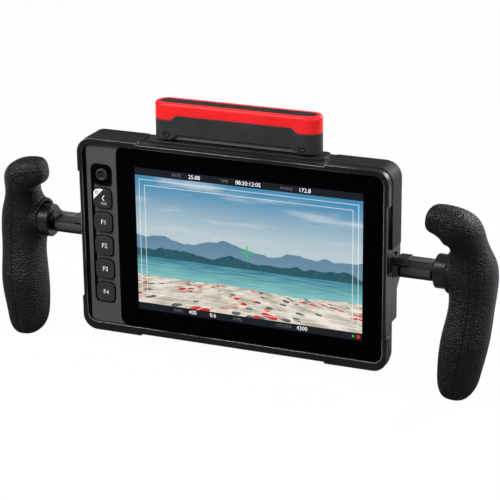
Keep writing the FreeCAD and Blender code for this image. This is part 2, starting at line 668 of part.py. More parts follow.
# Cooling fan behind the left slots, carried on a pin of its housing
fan_x = across("fan_size / 2", "-fan_offset")
fan_z = across("fan_size / 2", "fan_height")
fan_block = rounded(fan_x, ("fan_front", "fan_back"), fan_z, "Y", "body_corner / 2")
fan_floor = "fan_front + fan_wall"
fan_bore = rod("Y", "-fan_offset", fan_floor, "fan_height", "fan_size / 2 - fan_wall", "fan_depth")
fan_pin = rod("Y", "-fan_offset", fan_floor, "fan_height", "rotor_pin", "fan_depth - 3 * fan_wall")
node("fan_housing", fuse(cut(fan_block, fan_bore), fan_pin))
rotor_front = "fan_front + fan_wall + fan_gap"
rotor_long = "fan_depth - 2 * fan_wall - 2 * fan_gap"
rotor = [rod("Y", "-fan_offset", rotor_front, "fan_height", "rotor_hub", rotor_long)]
blade_count = 7
for blade in range(blade_count):
    vane = box(("0", "rotor_radius"), ("0", rotor_long), ("0", "fan_wall / 2"))
    swing = FreeCAD.Rotation(AXES["Y"], 360 * blade / blade_count)
    place(vane, "-fan_offset", rotor_front, "fan_height", swing)
    rotor.append(vane)
rotor_bore = rod("Y", "-fan_offset", rotor_front, "fan_height", "rotor_pin + slide_gap", rotor_long)
node("fan_rotor", cut(fuse(*rotor), rotor_bore))

# Key column: web, keys, mat and key board
web = rounded(across(web_half, "column_x"), ("tray_floor", "web_back"),
              across(web_rise, "screen_height"), "Y", "column_corner + web_overlap")
station_z = [f"joystick_z - {station} * key_pitch" for station in range(KEY_STEPS + 1)]
openings = []
for z in station_z:
    openings.append(rounded(across("cap_half + key_gap", "column_x"), ("lip_face", "split"),
                            across("cap_half + key_gap", z), "Y", "key_corner + key_gap"))
node("key_web", cut(web, *openings))
key_names = ("key_back", "key_f1", "key_f2", "key_f3", "key_f4")
for label, z in zip(key_names, station_z[1:]):
    cap = rounded(across("cap_half", "column_x"), ("glass_face + key_sunk", "flange_back"),
                  across("cap_half", z), "Y", "key_corner")
    flange = rounded(across("flange_half", "column_x"), ("flange_front", "flange_back"),
                     across("flange_half", z), "Y", "key_corner + key_gap + flange_overlap")
    node(label, fuse(cap, flange))
mat_x = across("column_width / 2 + web_overlap + mat_overlap", "column_x")
mat_z = ("screen_height - column_tall / 2 - web_overlap - mat_overlap", "joystick_z - housing_half - fit_gap")
node("key_mat", box(mat_x, ("mat_front", "mat_back"), mat_z))
node("key_board", box(mat_x, ("mat_back", "mat_back + key_board_thickness"), mat_z))

# Joystick: a knob on a gimbal in a carrier that can be pressed, in a housing behind the web
gate_block = rounded(across("cap_half + key_gap - slide_gap", "column_x"), ("glass_face + key_sunk", "split"),
                     across("cap_half + key_gap - slide_gap", "joystick_z"), "Y", "key_corner + key_gap")
gate_bore = rod("Y", "column_x", "lip_face", "joystick_z", "well_radius", "frame_depth + lip_proud")
node("joystick_gate", cut(gate_block, gate_bore))
housing = box(across("housing_half", "column_x"), ("split", "housing_floor + housing_wall"),
              across("housing_half", "joystick_z"))
housing_room = box(across("carrier_half + slide_gap", "column_x"), ("split - fit_gap", "housing_floor"),
                   across("carrier_half + slide_gap", "joystick_z"))
node("joystick_housing", cut(housing, housing_room))
carrier = box(across("carrier_half", "column_x"), ("carrier_front", "carrier_back"),
              across("carrier_half", "joystick_z"))
through_carrier = ("carrier_front - fit_gap", "carrier_back + fit_gap")
carrier_room = box(across("gimbal_room", "column_x"), through_carrier,
                   across("gimbal_room", "joystick_z"))
carrier_holes = rod("X", "column_x - carrier_half - fit_gap", "pivot_y", "joystick_z",
                    "pin_radius + slide_gap", "carrier_size + 2 * fit_gap")
node("joystick_carrier", cut(carrier, carrier_room, carrier_holes))
gimbal_y = across("gimbal_thickness / 2", "pivot_y")
gimbal = box(across("gimbal_size / 2", "column_x"), gimbal_y, across("gimbal_size / 2", "joystick_z"))
gimbal_pins = rod("X", "column_x - carrier_half + slide_gap", "pivot_y", "joystick_z", "pin_radius",
                  "carrier_size - 2 * slide_gap")
gimbal_room = box(across("gimbal_bore / 2", "column_x"), through_carrier,
                  across("gimbal_bore / 2", "joystick_z"))
gimbal_holes = rod("Z", "column_x", "pivot_y", "joystick_z - gimbal_size / 2 - fit_gap",
                   "pin_radius + slide_gap", "gimbal_size + 2 * fit_gap")
node("joystick_gimbal", cut(fuse(gimbal, gimbal_pins), gimbal_room, gimbal_holes))
knob_face = "glass_face - knob_proud"
knob_back = f"{knob_face} + knob_thickness"
knob_dish = f"{knob_face} + knob_thickness / 3"
stick = turned([(knob_dish, "0"), (knob_dish, "knob_radius / 2"),
                (knob_face, "3 / 4 * knob_radius"), (knob_face + " + knob_thickness / 4", "knob_radius"),
                (knob_back, "knob_radius"), (knob_back, "stem_radius"),
                ("pivot_y + gimbal_thickness / 2", "stem_radius"), ("pivot_y + gimbal_thickness / 2", "0")],
               "column_x", "0", "joystick_z", X_TO_Y)
stick_pin = rod("Z", "column_x", "pivot_y", "joystick_z - gimbal_size / 2 + slide_gap", "pin_radius",
                "gimbal_size - 2 * slide_gap")
node("joystick_stick", fuse(stick, stick_pin))

# Receiver on its base plate: neck, black shell, red cap, inlay, aerial board, aerials, screws and connector


def stadium(inset, foot, head):
    """A prism with round ends, drawn in from the receiver's outline."""
    half_depth = f"receiver_depth / 2 - ({inset})"
    return rounded(across(f"receiver_half - ({inset})"), across(half_depth, "receiver_mid"),
                   (foot, head), "Z", f"{half_depth} - end_flat")


plug_room = box(across("plug_width / 2 + fit_gap"), across("plug_depth / 2 + fit_gap", "receiver_mid"),
                ("body_height - fit_gap", "shell_foot + 2 * receiver_wall"))
dock = rounded(across("dock_width / 2"), across("dock_depth / 2", "receiver_mid"),
               ("body_height", "dock_top"), "Z", "dock_corner")
node("receiver_plate", cut(dock, plug_room))
neck = rounded(across("neck_width / 2"), across("neck_depth / 2", "receiver_mid"),
               ("dock_top", "shell_foot"), "Z", "dock_corner")
node("receiver_neck", cut(neck, plug_room))
step_left, step_right = across("cap_step / 2")
rise_left, rise_right = across("cap_step / 2 - cap_slope")
step_prism = padded("XZ_Plane", [(step_left, "cap_ends"), (step_right, "cap_ends"),
                                 (rise_right, "cap_foot"), (rise_left, "cap_foot")], "body_width")
skirt_head = "shell_foot + skirt_height"
skirt_prism = padded("XZ_Plane", [(step_left, "shell_foot"), (step_right, "shell_foot"),
                                  (rise_right, skirt_head), (rise_left, skirt_head)], "body_width")
skirt_front = box(across("side"), ("receiver_front - fit_gap", "receiver_front + skirt_cut"),
                  ("shell_foot - fit_gap", "cap_foot"))
step_top = common(stadium("0", "cap_ends - fit_gap", "cap_foot"), step_prism)
shell_outer = fuse(stadium("0", "shell_foot", "cap_ends"), step_top)
shell_room = stadium("receiver_wall", "shell_foot + receiver_wall", "cap_foot + fit_gap")
screw_places = ("-screw_spread / 2", "screw_spread / 2")
screw_z = "shell_foot + screw_radius + skirt_height / 2"
head_rooms = []
heads = []
for x in screw_places:
    for start, face in (("receiver_front - fit_gap", "receiver_front"),
                        ("receiver_back - head_height", "receiver_back - head_height")):
        head_rooms.append(rod("Y", x, start, screw_z, "screw_radius + slide_gap", "head_height + fit_gap"))
        heads.append(rod("Y", x, face, screw_z, "screw_radius", "head_height"))
node("receiver_shell", cut(shell_outer, shell_room, common(skirt_prism, skirt_front), plug_room, *head_rooms))
node("receiver_screws", fuse(*heads))
cap_room = stadium("receiver_wall", "cap_ends - fit_gap", "cap_floor - receiver_wall")
inlay_room = stadium("inlay_border", "cap_floor", "receiver_crown + fit_gap")
cap_outer = stadium("0", "cap_ends", "receiver_crown")
doc.recompute()
cap_corners = cap_outer.Tip
crown = cap_corners.Shape.BoundBox.ZMax
crown_edges = []
for number, edge in enumerate(cap_corners.Shape.Edges, start=1):
    if edge.BoundBox.ZMin > crown - SAME_PLACE:
        crown_edges.append(f"Edge{number}")
crown_rounding = cap_outer.newObject("PartDesign::Fillet", "CrownRounding")
crown_rounding.Base = (cap_corners, crown_edges)
bind(crown_rounding, Radius="cap_round")
node("receiver_cap", cut(cap_outer, step_prism, cap_room, inlay_room))
node("receiver_inlay", stadium("inlay_border + slide_gap", "cap_floor", "receiver_crown - fit_gap"))
aerial_foot = "shell_foot + receiver_wall"
aerial_head = "cap_floor - receiver_wall - fit_gap"
aerial_back = "receiver_mid + plug_depth / 2 + 2 * fit_gap + aerial_board"
board_half = "receiver_half - receiver_depth / 2"
node("aerial_board", box(across(board_half), (f"{aerial_back} - aerial_board", aerial_back),
                         (aerial_foot, aerial_head)))
patches = []
aerial_room = value("receiver_width - receiver_depth + aerial_spare") + SAME_PLACE
aerial_count = int(aerial_room / value("aerial_pitch"))
for aerial in range(aerial_count):
    middle = f"({aerial - (aerial_count - 1) / 2}) * aerial_pitch"
    patches.append(box(across("aerial_size / 2", middle), (aerial_back, f"{aerial_back} + aerial_thickness"),
                       across("aerial_size / 2", f"(({aerial_foot}) + ({aerial_head})) / 2")))
node("aerials", fuse(*patches))
node("receiver_connector", box(across("plug_width / 2"), across("plug_depth / 2", "receiver_mid"),
                               ("dock_top - plug_length", "shell_foot + receiver_wall")))

# Side sockets, posts, lock collars, grip cores, bolts and grips: the right ones, then their mirror images
SIDE_PIECES = {}
SIDE_PIECES["side_socket"] = cut(
    rod("X", "side - socket_recess - socket_length", "post_y", "post_height", "socket_radius",
        "socket_length"),
    rod("X", "side - stud_length", "post_y", "post_height", "stud_radius", "stud_length"))
bolt_hole = "spindle_end + collar_play - bolt_length"
post_spindle = turned([
    ("-stud_length", "0"), ("-stud_length", "stud_radius"), ("hub_start", "stud_radius"),
    ("hub_start", "post_core"), ("rod_end - shoulder_length", "post_core"),
    ("rod_end - shoulder_length", "post_radius"), ("rod_end", "post_radius"), ("rod_end", "spindle_radius"),
    ("spindle_end", "spindle_radius"), ("spindle_end", "bolt_shank"),
    (bolt_hole, "bolt_shank"), (bolt_hole, "0"),
], "side", "post_y", "post_height")
tube_z = "post_height - tube_drop"
tube_end = "rod_end - shoulder_length - tube_gap"
post_hub = rod("X", "side + hub_gap", "post_y", tube_z, "tube_radius + hub_proud", "hub_start - hub_gap")
post_tube = rod("X", "side + hub_start + tube_gap", "post_y", tube_z, "tube_radius",
                f"{tube_end} - hub_start - tube_gap")
post_rail = box(("side + hub_gap", f"side + {tube_end}"), across("rail_half", "post_y"),
                ("post_height", "post_height + rail_rise"))
post_pad = box(("side + hub_start", "side + hub_start + hub_length"),
               across("rail_half + hub_proud", "post_y"),
               ("post_height", "post_height + rail_rise + hub_proud"))
post_body = fuse(post_spindle, post_hub, post_tube, post_rail, post_pad)
node("post_right", post_body)
# The catch on the left post slopes up from the collar towards the casing
CATCH_TURN = 220
post_catch = box(("0", "catch_length"), ("0", "catch_depth"), ("0", "catch_thickness"))
place(post_catch, f"side + {tube_end}", "post_y - rail_half - catch_depth + fit_gap",
      "post_height + rail_rise - catch_thickness / 2", FreeCAD.Rotation(AXES["Y"], CATCH_TURN))
node("post_left", mirrored(fuse(post_body, post_catch)))
collar_start = "rod_end + collar_play"
collar_end = f"{collar_start} + collar_length"
SIDE_PIECES["lock_collar"] = turned([
    (collar_start, "spindle_radius + slide_gap"), (collar_start, "collar_radius - collar_chamfer"),
    (f"{collar_start} + collar_chamfer", "collar_radius"), (collar_end, "collar_radius"),
    (collar_end, "spindle_radius + slide_gap"),
], "side", "post_y", "post_height")
SIDE_PIECES["grip_core"] = turned([
    ("core_start", "spindle_radius + slide_gap"), ("core_start", "core_radius"),
    ("core_start + core_length", "core_radius"), ("core_start + core_length", "spindle_radius + slide_gap"),
], "side", "post_y", "post_height")
SIDE_PIECES["grip_bolt"] = turned([
    (bolt_hole, "0"), (bolt_hole, "bolt_shank"),
    ("spindle_end", "bolt_shank"), ("spindle_end", "bolt_radius"),
    ("spindle_end + bolt_head", "bolt_radius"), ("spindle_end + bolt_head", "0"),
], "side", "post_y", "post_height")

# Grip stations from the lower end to the horn tip: inward, upward, half width, share of the bow and lean
GRIP_STATIONS = [
    ("0.27 * horn_reach", "-grip_drop", "0.25 * grip_radius", 0.86, 4),
    ("0.26 * horn_reach", "-grip_drop + 0.08 * grip_radius", "0.51 * grip_radius", 0.77, 4),
    ("0.24 * horn_reach", "-grip_drop + 0.34 * grip_radius", "0.75 * grip_radius", 0.66, 4),
    ("0.21 * horn_reach", "-0.81 * grip_drop", "0.92 * grip_radius", 0.52, 6),
    ("0.095 * horn_reach", "-0.485 * grip_drop", "1.02 * grip_radius", 0.32, 8),
    ("0.03 * horn_reach", "-0.265 * grip_drop", "0.97 * grip_radius", 0.05, 4),
    ("0.05 * horn_reach", "0.065 * grip_drop", "grip_radius", -0.14, -5),
    ("0.13 * horn_reach", "0.53 * grip_rise", "0.79 * grip_radius", 0.22, -13),
    ("0.26 * horn_reach", "0.76 * grip_rise", "0.86 * grip_radius", 0.58, -42),
    ("0.51 * horn_reach", "0.88 * grip_rise", "0.74 * grip_radius", 0.74, -66),
    ("0.74 * horn_reach", "0.935 * grip_rise", "0.64 * grip_radius", 0.82, -76),
    ("0.89 * horn_reach", "0.955 * grip_rise", "0.53 * grip_radius", 0.9, -80),
    ("0.96 * horn_reach", "0.96 * grip_rise", "0.33 * grip_radius", 0.96, -82),
    ("0.98 * horn_reach", "0.96 * grip_rise", "0.12 * grip_radius", 1.0, -82),
]
sections = []
for inward, upward, half, bow, lean in GRIP_STATIONS:
    ring = doc.addObject("Part::Ellipse", "GripSection")
    bind(ring, MajorRadius=f"{half} * grip_flare", MinorRadius=half)
    tilt = FreeCAD.Rotation(AXES["Y"], lean).multVec(AXES["Z"])
    facing = FreeCAD.Rotation(AXES["Y"], AXES["Y"].cross(tilt) * -1, tilt, "ZXY")
    place(ring, f"side + grip_axis - {inward}", f"post_y - grip_forward - {bow} * grip_bow",
          f"post_height + {upward}", facing)
    sections.append(ring)
grip_loft = doc.addObject("Part::Loft", "GripLoft")
grip_loft.Sections = sections
grip_loft.Solid = True
boss = rod("X", "side + core_start", "post_y + boss_back", "post_height", "boss_radius",
           "grip_axis - core_start")
core_room = rod("X", "side + core_start - fit_gap", "post_y", "post_height", "core_radius",
                "spindle_end + bolt_head + bolt_room - core_start + fit_gap")
SIDE_PIECES["grip"] = cut(fuse(grip_loft, boss), core_room)
for label, piece in SIDE_PIECES.items():
    node(label + "_right", piece)
    node(label + "_left", mirrored(piece))

# Battery plate on the back, with a sprung latch and contact blades
battery_x = across("battery_width / 2")
battery_z = ("battery_foot", "battery_head")
battery = rounded(battery_x, ("top_back", "battery_back"), battery_z, "Y", "plate_corner")
channel = box(across("battery_width / 2 - rail_width"),
              ("battery_back - rail_depth", "battery_back + fit_gap"),
              ("battery_foot + 2 * casing_wall + latch_tall + latch_travel", "battery_head + fit_gap"))
latch_y = "top_back + casing_wall / 2"
latch_room = box(across("latch_width / 2 + slide_gap"), (latch_y, "battery_back + fit_gap"),
                 ("latch_foot - latch_travel - fit_gap", "latch_foot + latch_tall + fit_gap"))
node("battery_plate", cut(battery, channel, latch_room))
node("battery_latch", box(across("latch_width / 2"), (f"{latch_y} + slide_gap", "battery_back + latch_proud"),
                          ("latch_foot", "latch_foot + latch_tall")))
blades = []
for middle in ("-blade_pitch", "0", "blade_pitch"):
    blades.append(box(across("blade_width / 2", middle),
                      ("battery_back - rail_depth", "battery_back - rail_depth / 4"),
                      ("battery_head - 3 * blade_pitch", "battery_head - 2 * blade_pitch")))
node("battery_contacts", fuse(*blades))

doc.recompute()
for thing in doc.Objects:
    if "Invalid" in thing.State or "Error" in thing.State:
        raise RuntimeError(f"{thing.Label} failed: {thing.State}")
for thing in nodes:
    if thing.Shape.isNull() or not thing.Shape.isValid():
        raise RuntimeError(f"{thing.Label} has no valid shape")
os.makedirs("parts", exist_ok=True)
for thing in nodes:
    thing.Shape.exportStep(f"parts/{thing.Label}.step")
    print(thing.Label, len(thing.Shape.Solids), round(thing.Shape.Volume, 1))
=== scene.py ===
import bpy
import numpy as np
from mathutils import Matrix, Vector


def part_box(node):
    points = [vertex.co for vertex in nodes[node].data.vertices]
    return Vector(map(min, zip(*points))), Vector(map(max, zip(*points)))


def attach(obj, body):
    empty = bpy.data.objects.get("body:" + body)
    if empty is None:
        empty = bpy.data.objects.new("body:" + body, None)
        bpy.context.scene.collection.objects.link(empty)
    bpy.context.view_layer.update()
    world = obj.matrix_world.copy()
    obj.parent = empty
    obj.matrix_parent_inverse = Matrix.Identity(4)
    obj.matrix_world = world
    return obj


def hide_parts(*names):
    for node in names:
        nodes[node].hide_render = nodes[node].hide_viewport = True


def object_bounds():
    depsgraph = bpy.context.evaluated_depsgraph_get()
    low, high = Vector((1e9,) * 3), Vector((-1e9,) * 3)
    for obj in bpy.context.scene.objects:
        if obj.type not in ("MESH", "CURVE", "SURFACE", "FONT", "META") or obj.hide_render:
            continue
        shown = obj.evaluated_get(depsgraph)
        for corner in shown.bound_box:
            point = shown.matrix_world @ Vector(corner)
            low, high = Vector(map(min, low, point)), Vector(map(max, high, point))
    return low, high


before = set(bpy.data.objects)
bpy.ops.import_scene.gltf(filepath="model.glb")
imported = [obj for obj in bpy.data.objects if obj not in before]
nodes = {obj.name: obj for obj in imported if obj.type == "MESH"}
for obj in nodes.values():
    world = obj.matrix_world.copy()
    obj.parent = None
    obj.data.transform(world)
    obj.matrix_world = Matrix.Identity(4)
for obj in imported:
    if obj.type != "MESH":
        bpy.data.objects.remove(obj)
cad_low, cad_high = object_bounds()

# Studio: a pale floor under the grips, a white room and four soft boxes.
# The boxes hang above, at the left, at the right and behind, so that edges and posts get long soft bands.
# The camera stands where the four corners of the lit picture say that the photograph was taken.
bpy.context.scene.view_settings.view_transform = "Standard"
camera = bpy.data.objects.new("camera", bpy.data.cameras.new("camera"))
camera.data.lens = 140.27
camera.data.sensor_width = 36
camera.matrix_world = Matrix((
    (0.92145, -0.12133, 0.36908, 0.45576),
    (0.38835, 0.31466, -0.86612, -1.04956),
    (-0.01104, 0.94142, 0.33706, 0.47059),
    (0, 0, 0, 1),
))
bpy.context.scene.collection.objects.link(camera)
bpy.context.scene.camera = camera

middle = (cad_low + cad_high) / 2
for name, place, width, power in (
    ("soft_box_above", (-0.2, -0.3, 0.55), 0.24, 3.2),
    ("soft_box_left", (-0.8, -0.5, 0.55), 0.3, 5.6),
    ("soft_box_right", (0.8, -0.1, 0.5), 0.28, 5.6),
    ("soft_box_back", (0.5, 0.9, 0.5), 0.4, 7.0),
):
    lamp = bpy.data.objects.new(name, bpy.data.lights.new(name, "AREA"))
    lamp.data.size = width
    lamp.data.energy = power
    lamp.location = place
    lamp.rotation_mode = "QUATERNION"
    lamp.rotation_quaternion = (Vector(place) - middle).to_track_quat("Z", "Y")
    bpy.context.scene.collection.objects.link(lamp)


class Socket:
    """A socket in a node tree. Arithmetic on it adds Math nodes."""

    def __init__(self, tree, socket):
        self.tree = tree
        self.socket = socket

    def node(self, kind, settings, inputs, output=0):
        """Add a node: its settings, then the values or links of its sockets. Gives one of its outputs."""
        made = self.tree.nodes.new(kind)
        for name, value in settings.items():
            setattr(made, name, value)
        for name, value in inputs.items():
            if isinstance(value, Socket):
                self.tree.links.new(value.socket, made.inputs[name])
            else:
                made.inputs[name].default_value = value
        return Socket(self.tree, made.outputs[output])

    def math(self, operation, first, second=0.0):
        return self.node("ShaderNodeMath", {"operation": operation}, {0: first, 1: second})

    def __add__(self, other):
        return self.math("ADD", self, other)

    def __sub__(self, other):
        return self.math("SUBTRACT", self, other)

    def __rsub__(self, other):
        return self.math("SUBTRACT", other, self)

    def __mul__(self, other):
        return self.math("MULTIPLY", self, other)

    def __rtruediv__(self, other):
        return self.math("DIVIDE", other, self)

    def __lt__(self, other):
        return self.math("LESS_THAN", self, other)

    def __gt__(self, other):
        return self.math("GREATER_THAN", self, other)

    def __abs__(self):
        return self.math("ABSOLUTE", self)

    def step(self, low, high):
        """A smooth rise from 0 at low to 1 at high."""
        return self.node("ShaderNodeMapRange", {"interpolation_type": "SMOOTHSTEP"},
                         {"Value": self, "From Min": low, "From Max": high})

    def mix(self, first, second):
        """A colour between two, by this share of the second."""
        return self.node("ShaderNodeMix", {"data_type": "RGBA"}, {0: self, 6: first, 7: second}, 2)


def parts_of(place):
    """The three parts of a place."""
    split = place.tree.nodes.new("ShaderNodeSeparateXYZ")
    place.tree.links.new(place.socket, split.inputs[0])
    return [Socket(place.tree, split.outputs[axis]) for axis in ("X", "Y", "Z")]


floor_size = 6.0
floor_gap = 0.0003
floor_white = 0.2
floor_glow = 1.08
floor_mesh = bpy.data.meshes.new("floor")
floor_corners = np.array([(-1, -1, 0), (1, -1, 0), (1, 1, 0), (-1, 1, 0)]) * floor_size
floor_corners[:, 2] = cad_low.z - floor_gap
floor_mesh.from_pydata(floor_corners.tolist(), [], [(0, 1, 2, 3)])
floor = bpy.data.objects.new("floor", floor_mesh)
bpy.context.scene.collection.objects.link(floor)
floor_finish = bpy.data.materials.new("floor_white")
floor_finish.use_nodes = True
tree = floor_finish.node_tree
path = tree.nodes.new("ShaderNodeLightPath")
shown = Socket(tree, path.outputs["Is Camera Ray"])
mirrored = Socket(tree, path.outputs["Is Glossy Ray"]) + Socket(tree, path.outputs["Is Transmission Ray"])
place = Socket(tree, tree.nodes.new("ShaderNodeTexCoord").outputs["Object"])
behind = parts_of(place)[1].step(0.0, 0.2)
matt = shown.node("ShaderNodeBsdfDiffuse", {}, {"Color": (floor_white, floor_white, floor_white, 1)})
glow = shown.node("ShaderNodeEmission", {}, {"Color": (1, 1, 1, 1), "Strength": floor_glow})
both = shown.node("ShaderNodeMixShader", {}, {0: (shown + mirrored * behind) * 0.9, 1: matt, 2: glow})
tree.links.new(both.socket, tree.nodes["Material Output"].inputs["Surface"])
floor_mesh.materials.append(floor_finish)

world = bpy.data.worlds.new("white_room")
world.use_nodes = True
bpy.context.scene.world = world
tree = world.node_tree
path = tree.nodes.new("ShaderNodeLightPath")
shown = Socket(tree, path.outputs["Is Camera Ray"]) + Socket(tree, path.outputs["Is Transmission Ray"])
mirrored = Socket(tree, path.outputs["Is Glossy Ray"])
heading = Socket(tree, tree.nodes.new("ShaderNodeTexCoord").outputs["Generated"])
behind = parts_of(heading)[1].step(-0.3, 0.3)
strength = shown * 0.86 + mirrored * (behind * 0.16 - 0.08) + 0.14
tree.links.new(strength.socket, tree.nodes["Background"].inputs["Strength"])
tree.nodes["Background"].inputs["Color"].default_value = (1, 1, 1, 1)


# Casing: rear cover, front frame and front plate are cast and milled metal with a fine black powder coat.
# The edges are painted a lighter grey, partly polish from handling and partly painted highlight, which is
# strongest on the frame's lip. The groove between frame and plate and the plate's walls are painted near
# black as painted shade.
def tone(red, green, blue):
    """A linear colour from 0 to 255 screen values."""
    share = np.array((red, green, blue)) / 255
    linear = np.where(share < 0.04045, share / 12.92, ((share + 0.055) / 1.055) ** 2.4)
    return (*linear.tolist(), 1.0)


def new_finish(name, **constants):
    """A material with one shader whose constants are set. Gives it and its place socket."""
    made = bpy.data.materials.new(name)
    made.use_nodes = True
    shader = made.node_tree.nodes["Principled BSDF"]
    for socket, value in constants.items():
        shader.inputs[socket.replace("_", " ")].default_value = value
    place = made.node_tree.nodes.new("ShaderNodeTexCoord").outputs["Object"]
    return made, Socket(made.node_tree, place)


def feed(made, **links):
    """Link patterns to the shader of a material."""
    shader = made.node_tree.nodes["Principled BSDF"]
    for socket, pattern in links.items():
        made.node_tree.links.new(pattern.socket, shader.inputs[socket.replace("_", " ")])


def noise(place, scale, detail=2.0):
    """Cloudy noise of a size, 0 to 1."""
    return place.node("ShaderNodeTexNoise", {}, {"Vector": place, "Scale": scale, "Detail": detail}, "Fac")


def soft_edge(place, radius):
    """The normal with edges rounded off, and a mask of those edges."""
    rounded = place.node("ShaderNodeBevel", {"samples": 6}, {"Radius": radius}, "Normal")
    flat = place.node("ShaderNodeNewGeometry", {}, {}, "Normal")
    facing = place.node("ShaderNodeVectorMath", {"operation": "DOT_PRODUCT"}, {0: rounded, 1: flat}, "Value")
    return rounded, (1 - facing).step(0.01, 0.2)


def bump(place, height, depth, normal=None):
    """A bumped normal from a height pattern in metres."""
    links = {"Height": height, "Distance": depth, "Strength": 1.0}
    if normal:
        links["Normal"] = normal
    return place.node("ShaderNodeBump", {}, links)


def coated(name, dark, light, wear_and_painted_light, grain, edge, roughness, metallic=0.0):
    """Powder coat: a speckle between two tones, edges painted lighter for wear and as painted highlight, fine
    orange-peel bump.
    """
    made, place = new_finish(name, Metallic=metallic, Specular_IOR_Level=0.2)
    speckle = noise(place, grain, 3.0)
    cloud = noise(place, 35.0)
    rounded, rim = soft_edge(place, edge)
    colour = (speckle * 0.6 + cloud * 0.4).step(0.3, 0.7).mix(dark, light)
    # Edge mask for the lighter tone: wear and painted highlight on the edges.
    edge_wear_and_highlight = rim * cloud.step(0.25, 0.6)
    feed(made, Base_Color=(edge_wear_and_highlight * 0.8).mix(colour, wear_and_painted_light), Roughness=speckle * 0.12 + (roughness - 0.06),
         Normal=bump(place, speckle, 0.00003, rounded))
    return made


def dress(made, *names):
    """Give CAD nodes a finish."""
    for name in names:
        nodes[name].data.materials.clear()
        nodes[name].data.materials.append(made)


def paint_over(made, mask, colour):
    """Lay one more colour over a finish where the mask is 1."""
    tree = made.node_tree
    link = tree.nodes["Principled BSDF"].inputs["Base Color"].links[0]
    feed(made, Base_Color=mask.mix(Socket(tree, link.from_socket), colour))


def place_in(made):
    """Where a point of a finish lies on the object."""
    return Socket(made.node_tree, made.node_tree.nodes["Texture Coordinate"].outputs["Object"])


# Lighter edge tones: wear and painted highlight; the frame's pale lip edge is mostly painted highlight.
casing_black = coated("casing_black", tone(26, 26, 27), tone(36, 36, 37), tone(84, 84, 86),
                      2600.0, 0.0005, 0.36)
dress(casing_black, "rear_cover", "receiver_plate", "receiver_neck")
frame_grey = coated("frame_grey", tone(20, 20, 21), tone(29, 29, 30), tone(176, 176, 177),
                    2600.0, 0.0009, 0.34)
plate_low, plate_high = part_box("front_plate")
groove_width = 0.0026
groove_front = 0.0007
groove_ends = 0.0004
plate_skin = 0.00012
across_x, across_y, across_z = parts_of(place_in(frame_grey))
# Painted shade: the groove between frame and plate is painted near black.
painted_groove_shade = (across_x > plate_low.x - groove_width) * (across_y > plate_low.y - groove_front) * (across_x < 0.0)
painted_groove_shade = painted_groove_shade * (across_z > plate_low.z - groove_ends) * (across_z < plate_high.z + groove_ends)
paint_over(frame_grey, painted_groove_shade, tone(3, 3, 3))
dress(frame_grey, "front_frame")
plate_grey = coated("plate_grey", tone(69, 69, 69), tone(82, 82, 82), tone(100, 100, 100),
                    3000.0, 0.0003, 0.45)
# Painted shade: the plate's walls behind its face are painted near black.
paint_over(plate_grey, parts_of(place_in(plate_grey))[1] > plate_low.y + plate_skin, tone(2, 2, 2))
dress(plate_grey, "front_plate")

# Screen: bonded cover glass with an anti-reflection coat over the panel, so the lit picture lies in its face.
# The picture is a lake below hills with a flower meadow in front. Thin frame guides and a cross lie over it,
# and a dark readout bar runs above and below.
glass_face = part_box("cover_glass")[0].y
panel_low, panel_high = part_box("lcd_panel")
border = 0.0046
picture_middle = ((panel_low.x + panel_high.x) / 2, (panel_low.z + panel_high.z) / 2)
picture_width = panel_high.x - panel_low.x - 2 * border
picture_tall = panel_high.z - panel_low.z - 2 * border
glass_finish, place = new_finish("screen_glass", Base_Color=tone(3, 3, 5), Roughness=0.08,
                                 Specular_IOR_Level=0.01, Emission_Strength=1.0)
across_x, across_y, across_z = parts_of(place)
along = (across_x - picture_middle[0]) * (1 / picture_width)
rise = (across_z - picture_middle[1]) * (1 / picture_tall)


def ridge(frequency, shift, swing, level):
    """Height of a hill line: level plus one-dimensional noise along the picture."""
    wave = place.node("ShaderNodeTexNoise", {"noise_dimensions": "1D"},
                      {"W": along * frequency + shift, "Scale": 1.0, "Detail": 4.0}, "Fac")
    return (wave - 0.5) * swing + level


def stretched(across_scale, up_scale, shift):
    """Noise drawn out along the picture."""
    spot = place.node("ShaderNodeCombineXYZ", {}, {"X": along * across_scale, "Y": rise * up_scale + shift})
    return place.node("ShaderNodeTexNoise", {}, {"Vector": spot, "Scale": 1.0, "Detail": 5.0}, "Fac")


sky = rise.step(0.02, 0.46).mix(tone(186, 203, 209), tone(66, 138, 178))
sky = (stretched(2.2, 9.0, 3.0).step(0.5, 0.75) * 0.75).mix(sky, tone(214, 222, 228))
far_hills = (ridge(3.1, 8.0, 0.2, 0.02) - rise).step(-0.002, 0.004)
view = far_hills.mix(sky, (rise * 6.0 + 0.5).mix(tone(112, 146, 166), tone(92, 128, 156)))
near_hills = (ridge(4.3, 31.0, 0.16, -0.06) - rise).step(-0.002, 0.004)
view = near_hills.mix(view, noise(place, 420.0, 4.0).mix(tone(24, 66, 88), tone(58, 106, 112)))
lake = (-0.115 - rise).step(-0.001, 0.001)
water = (stretched(7.0, 90.0, 0.0) * 0.6 + (-0.1 - rise) * 2.2).step(0.15, 0.75)
view = lake.mix(view, water.mix(tone(20, 104, 134), tone(134, 196, 194)))
meadow = (ridge(2.6, 55.0, 0.07, -0.25) - rise).step(-0.004, 0.004)
depth = 0.1 / (-0.1 - rise)
ground = place.node("ShaderNodeCombineXYZ", {}, {"X": along * depth * 60.0, "Y": depth * 26.0})
field = place.node("ShaderNodeTexNoise", {}, {"Vector": ground, "Scale": 0.5, "Detail": 4.0}, "Fac")
field = field.step(0.3, 0.7).mix(tone(176, 166, 150), tone(238, 231, 218))
bloom = place.node("ShaderNodeTexVoronoi", {}, {"Vector": ground, "Scale": 1.0}, "Color")
petal = place.node("ShaderNodeTexVoronoi", {}, {"Vector": ground, "Scale": 1.0}, "Distance")
lucky = place.node("ShaderNodeSeparateColor", {}, {"Color": bloom}, "Red")
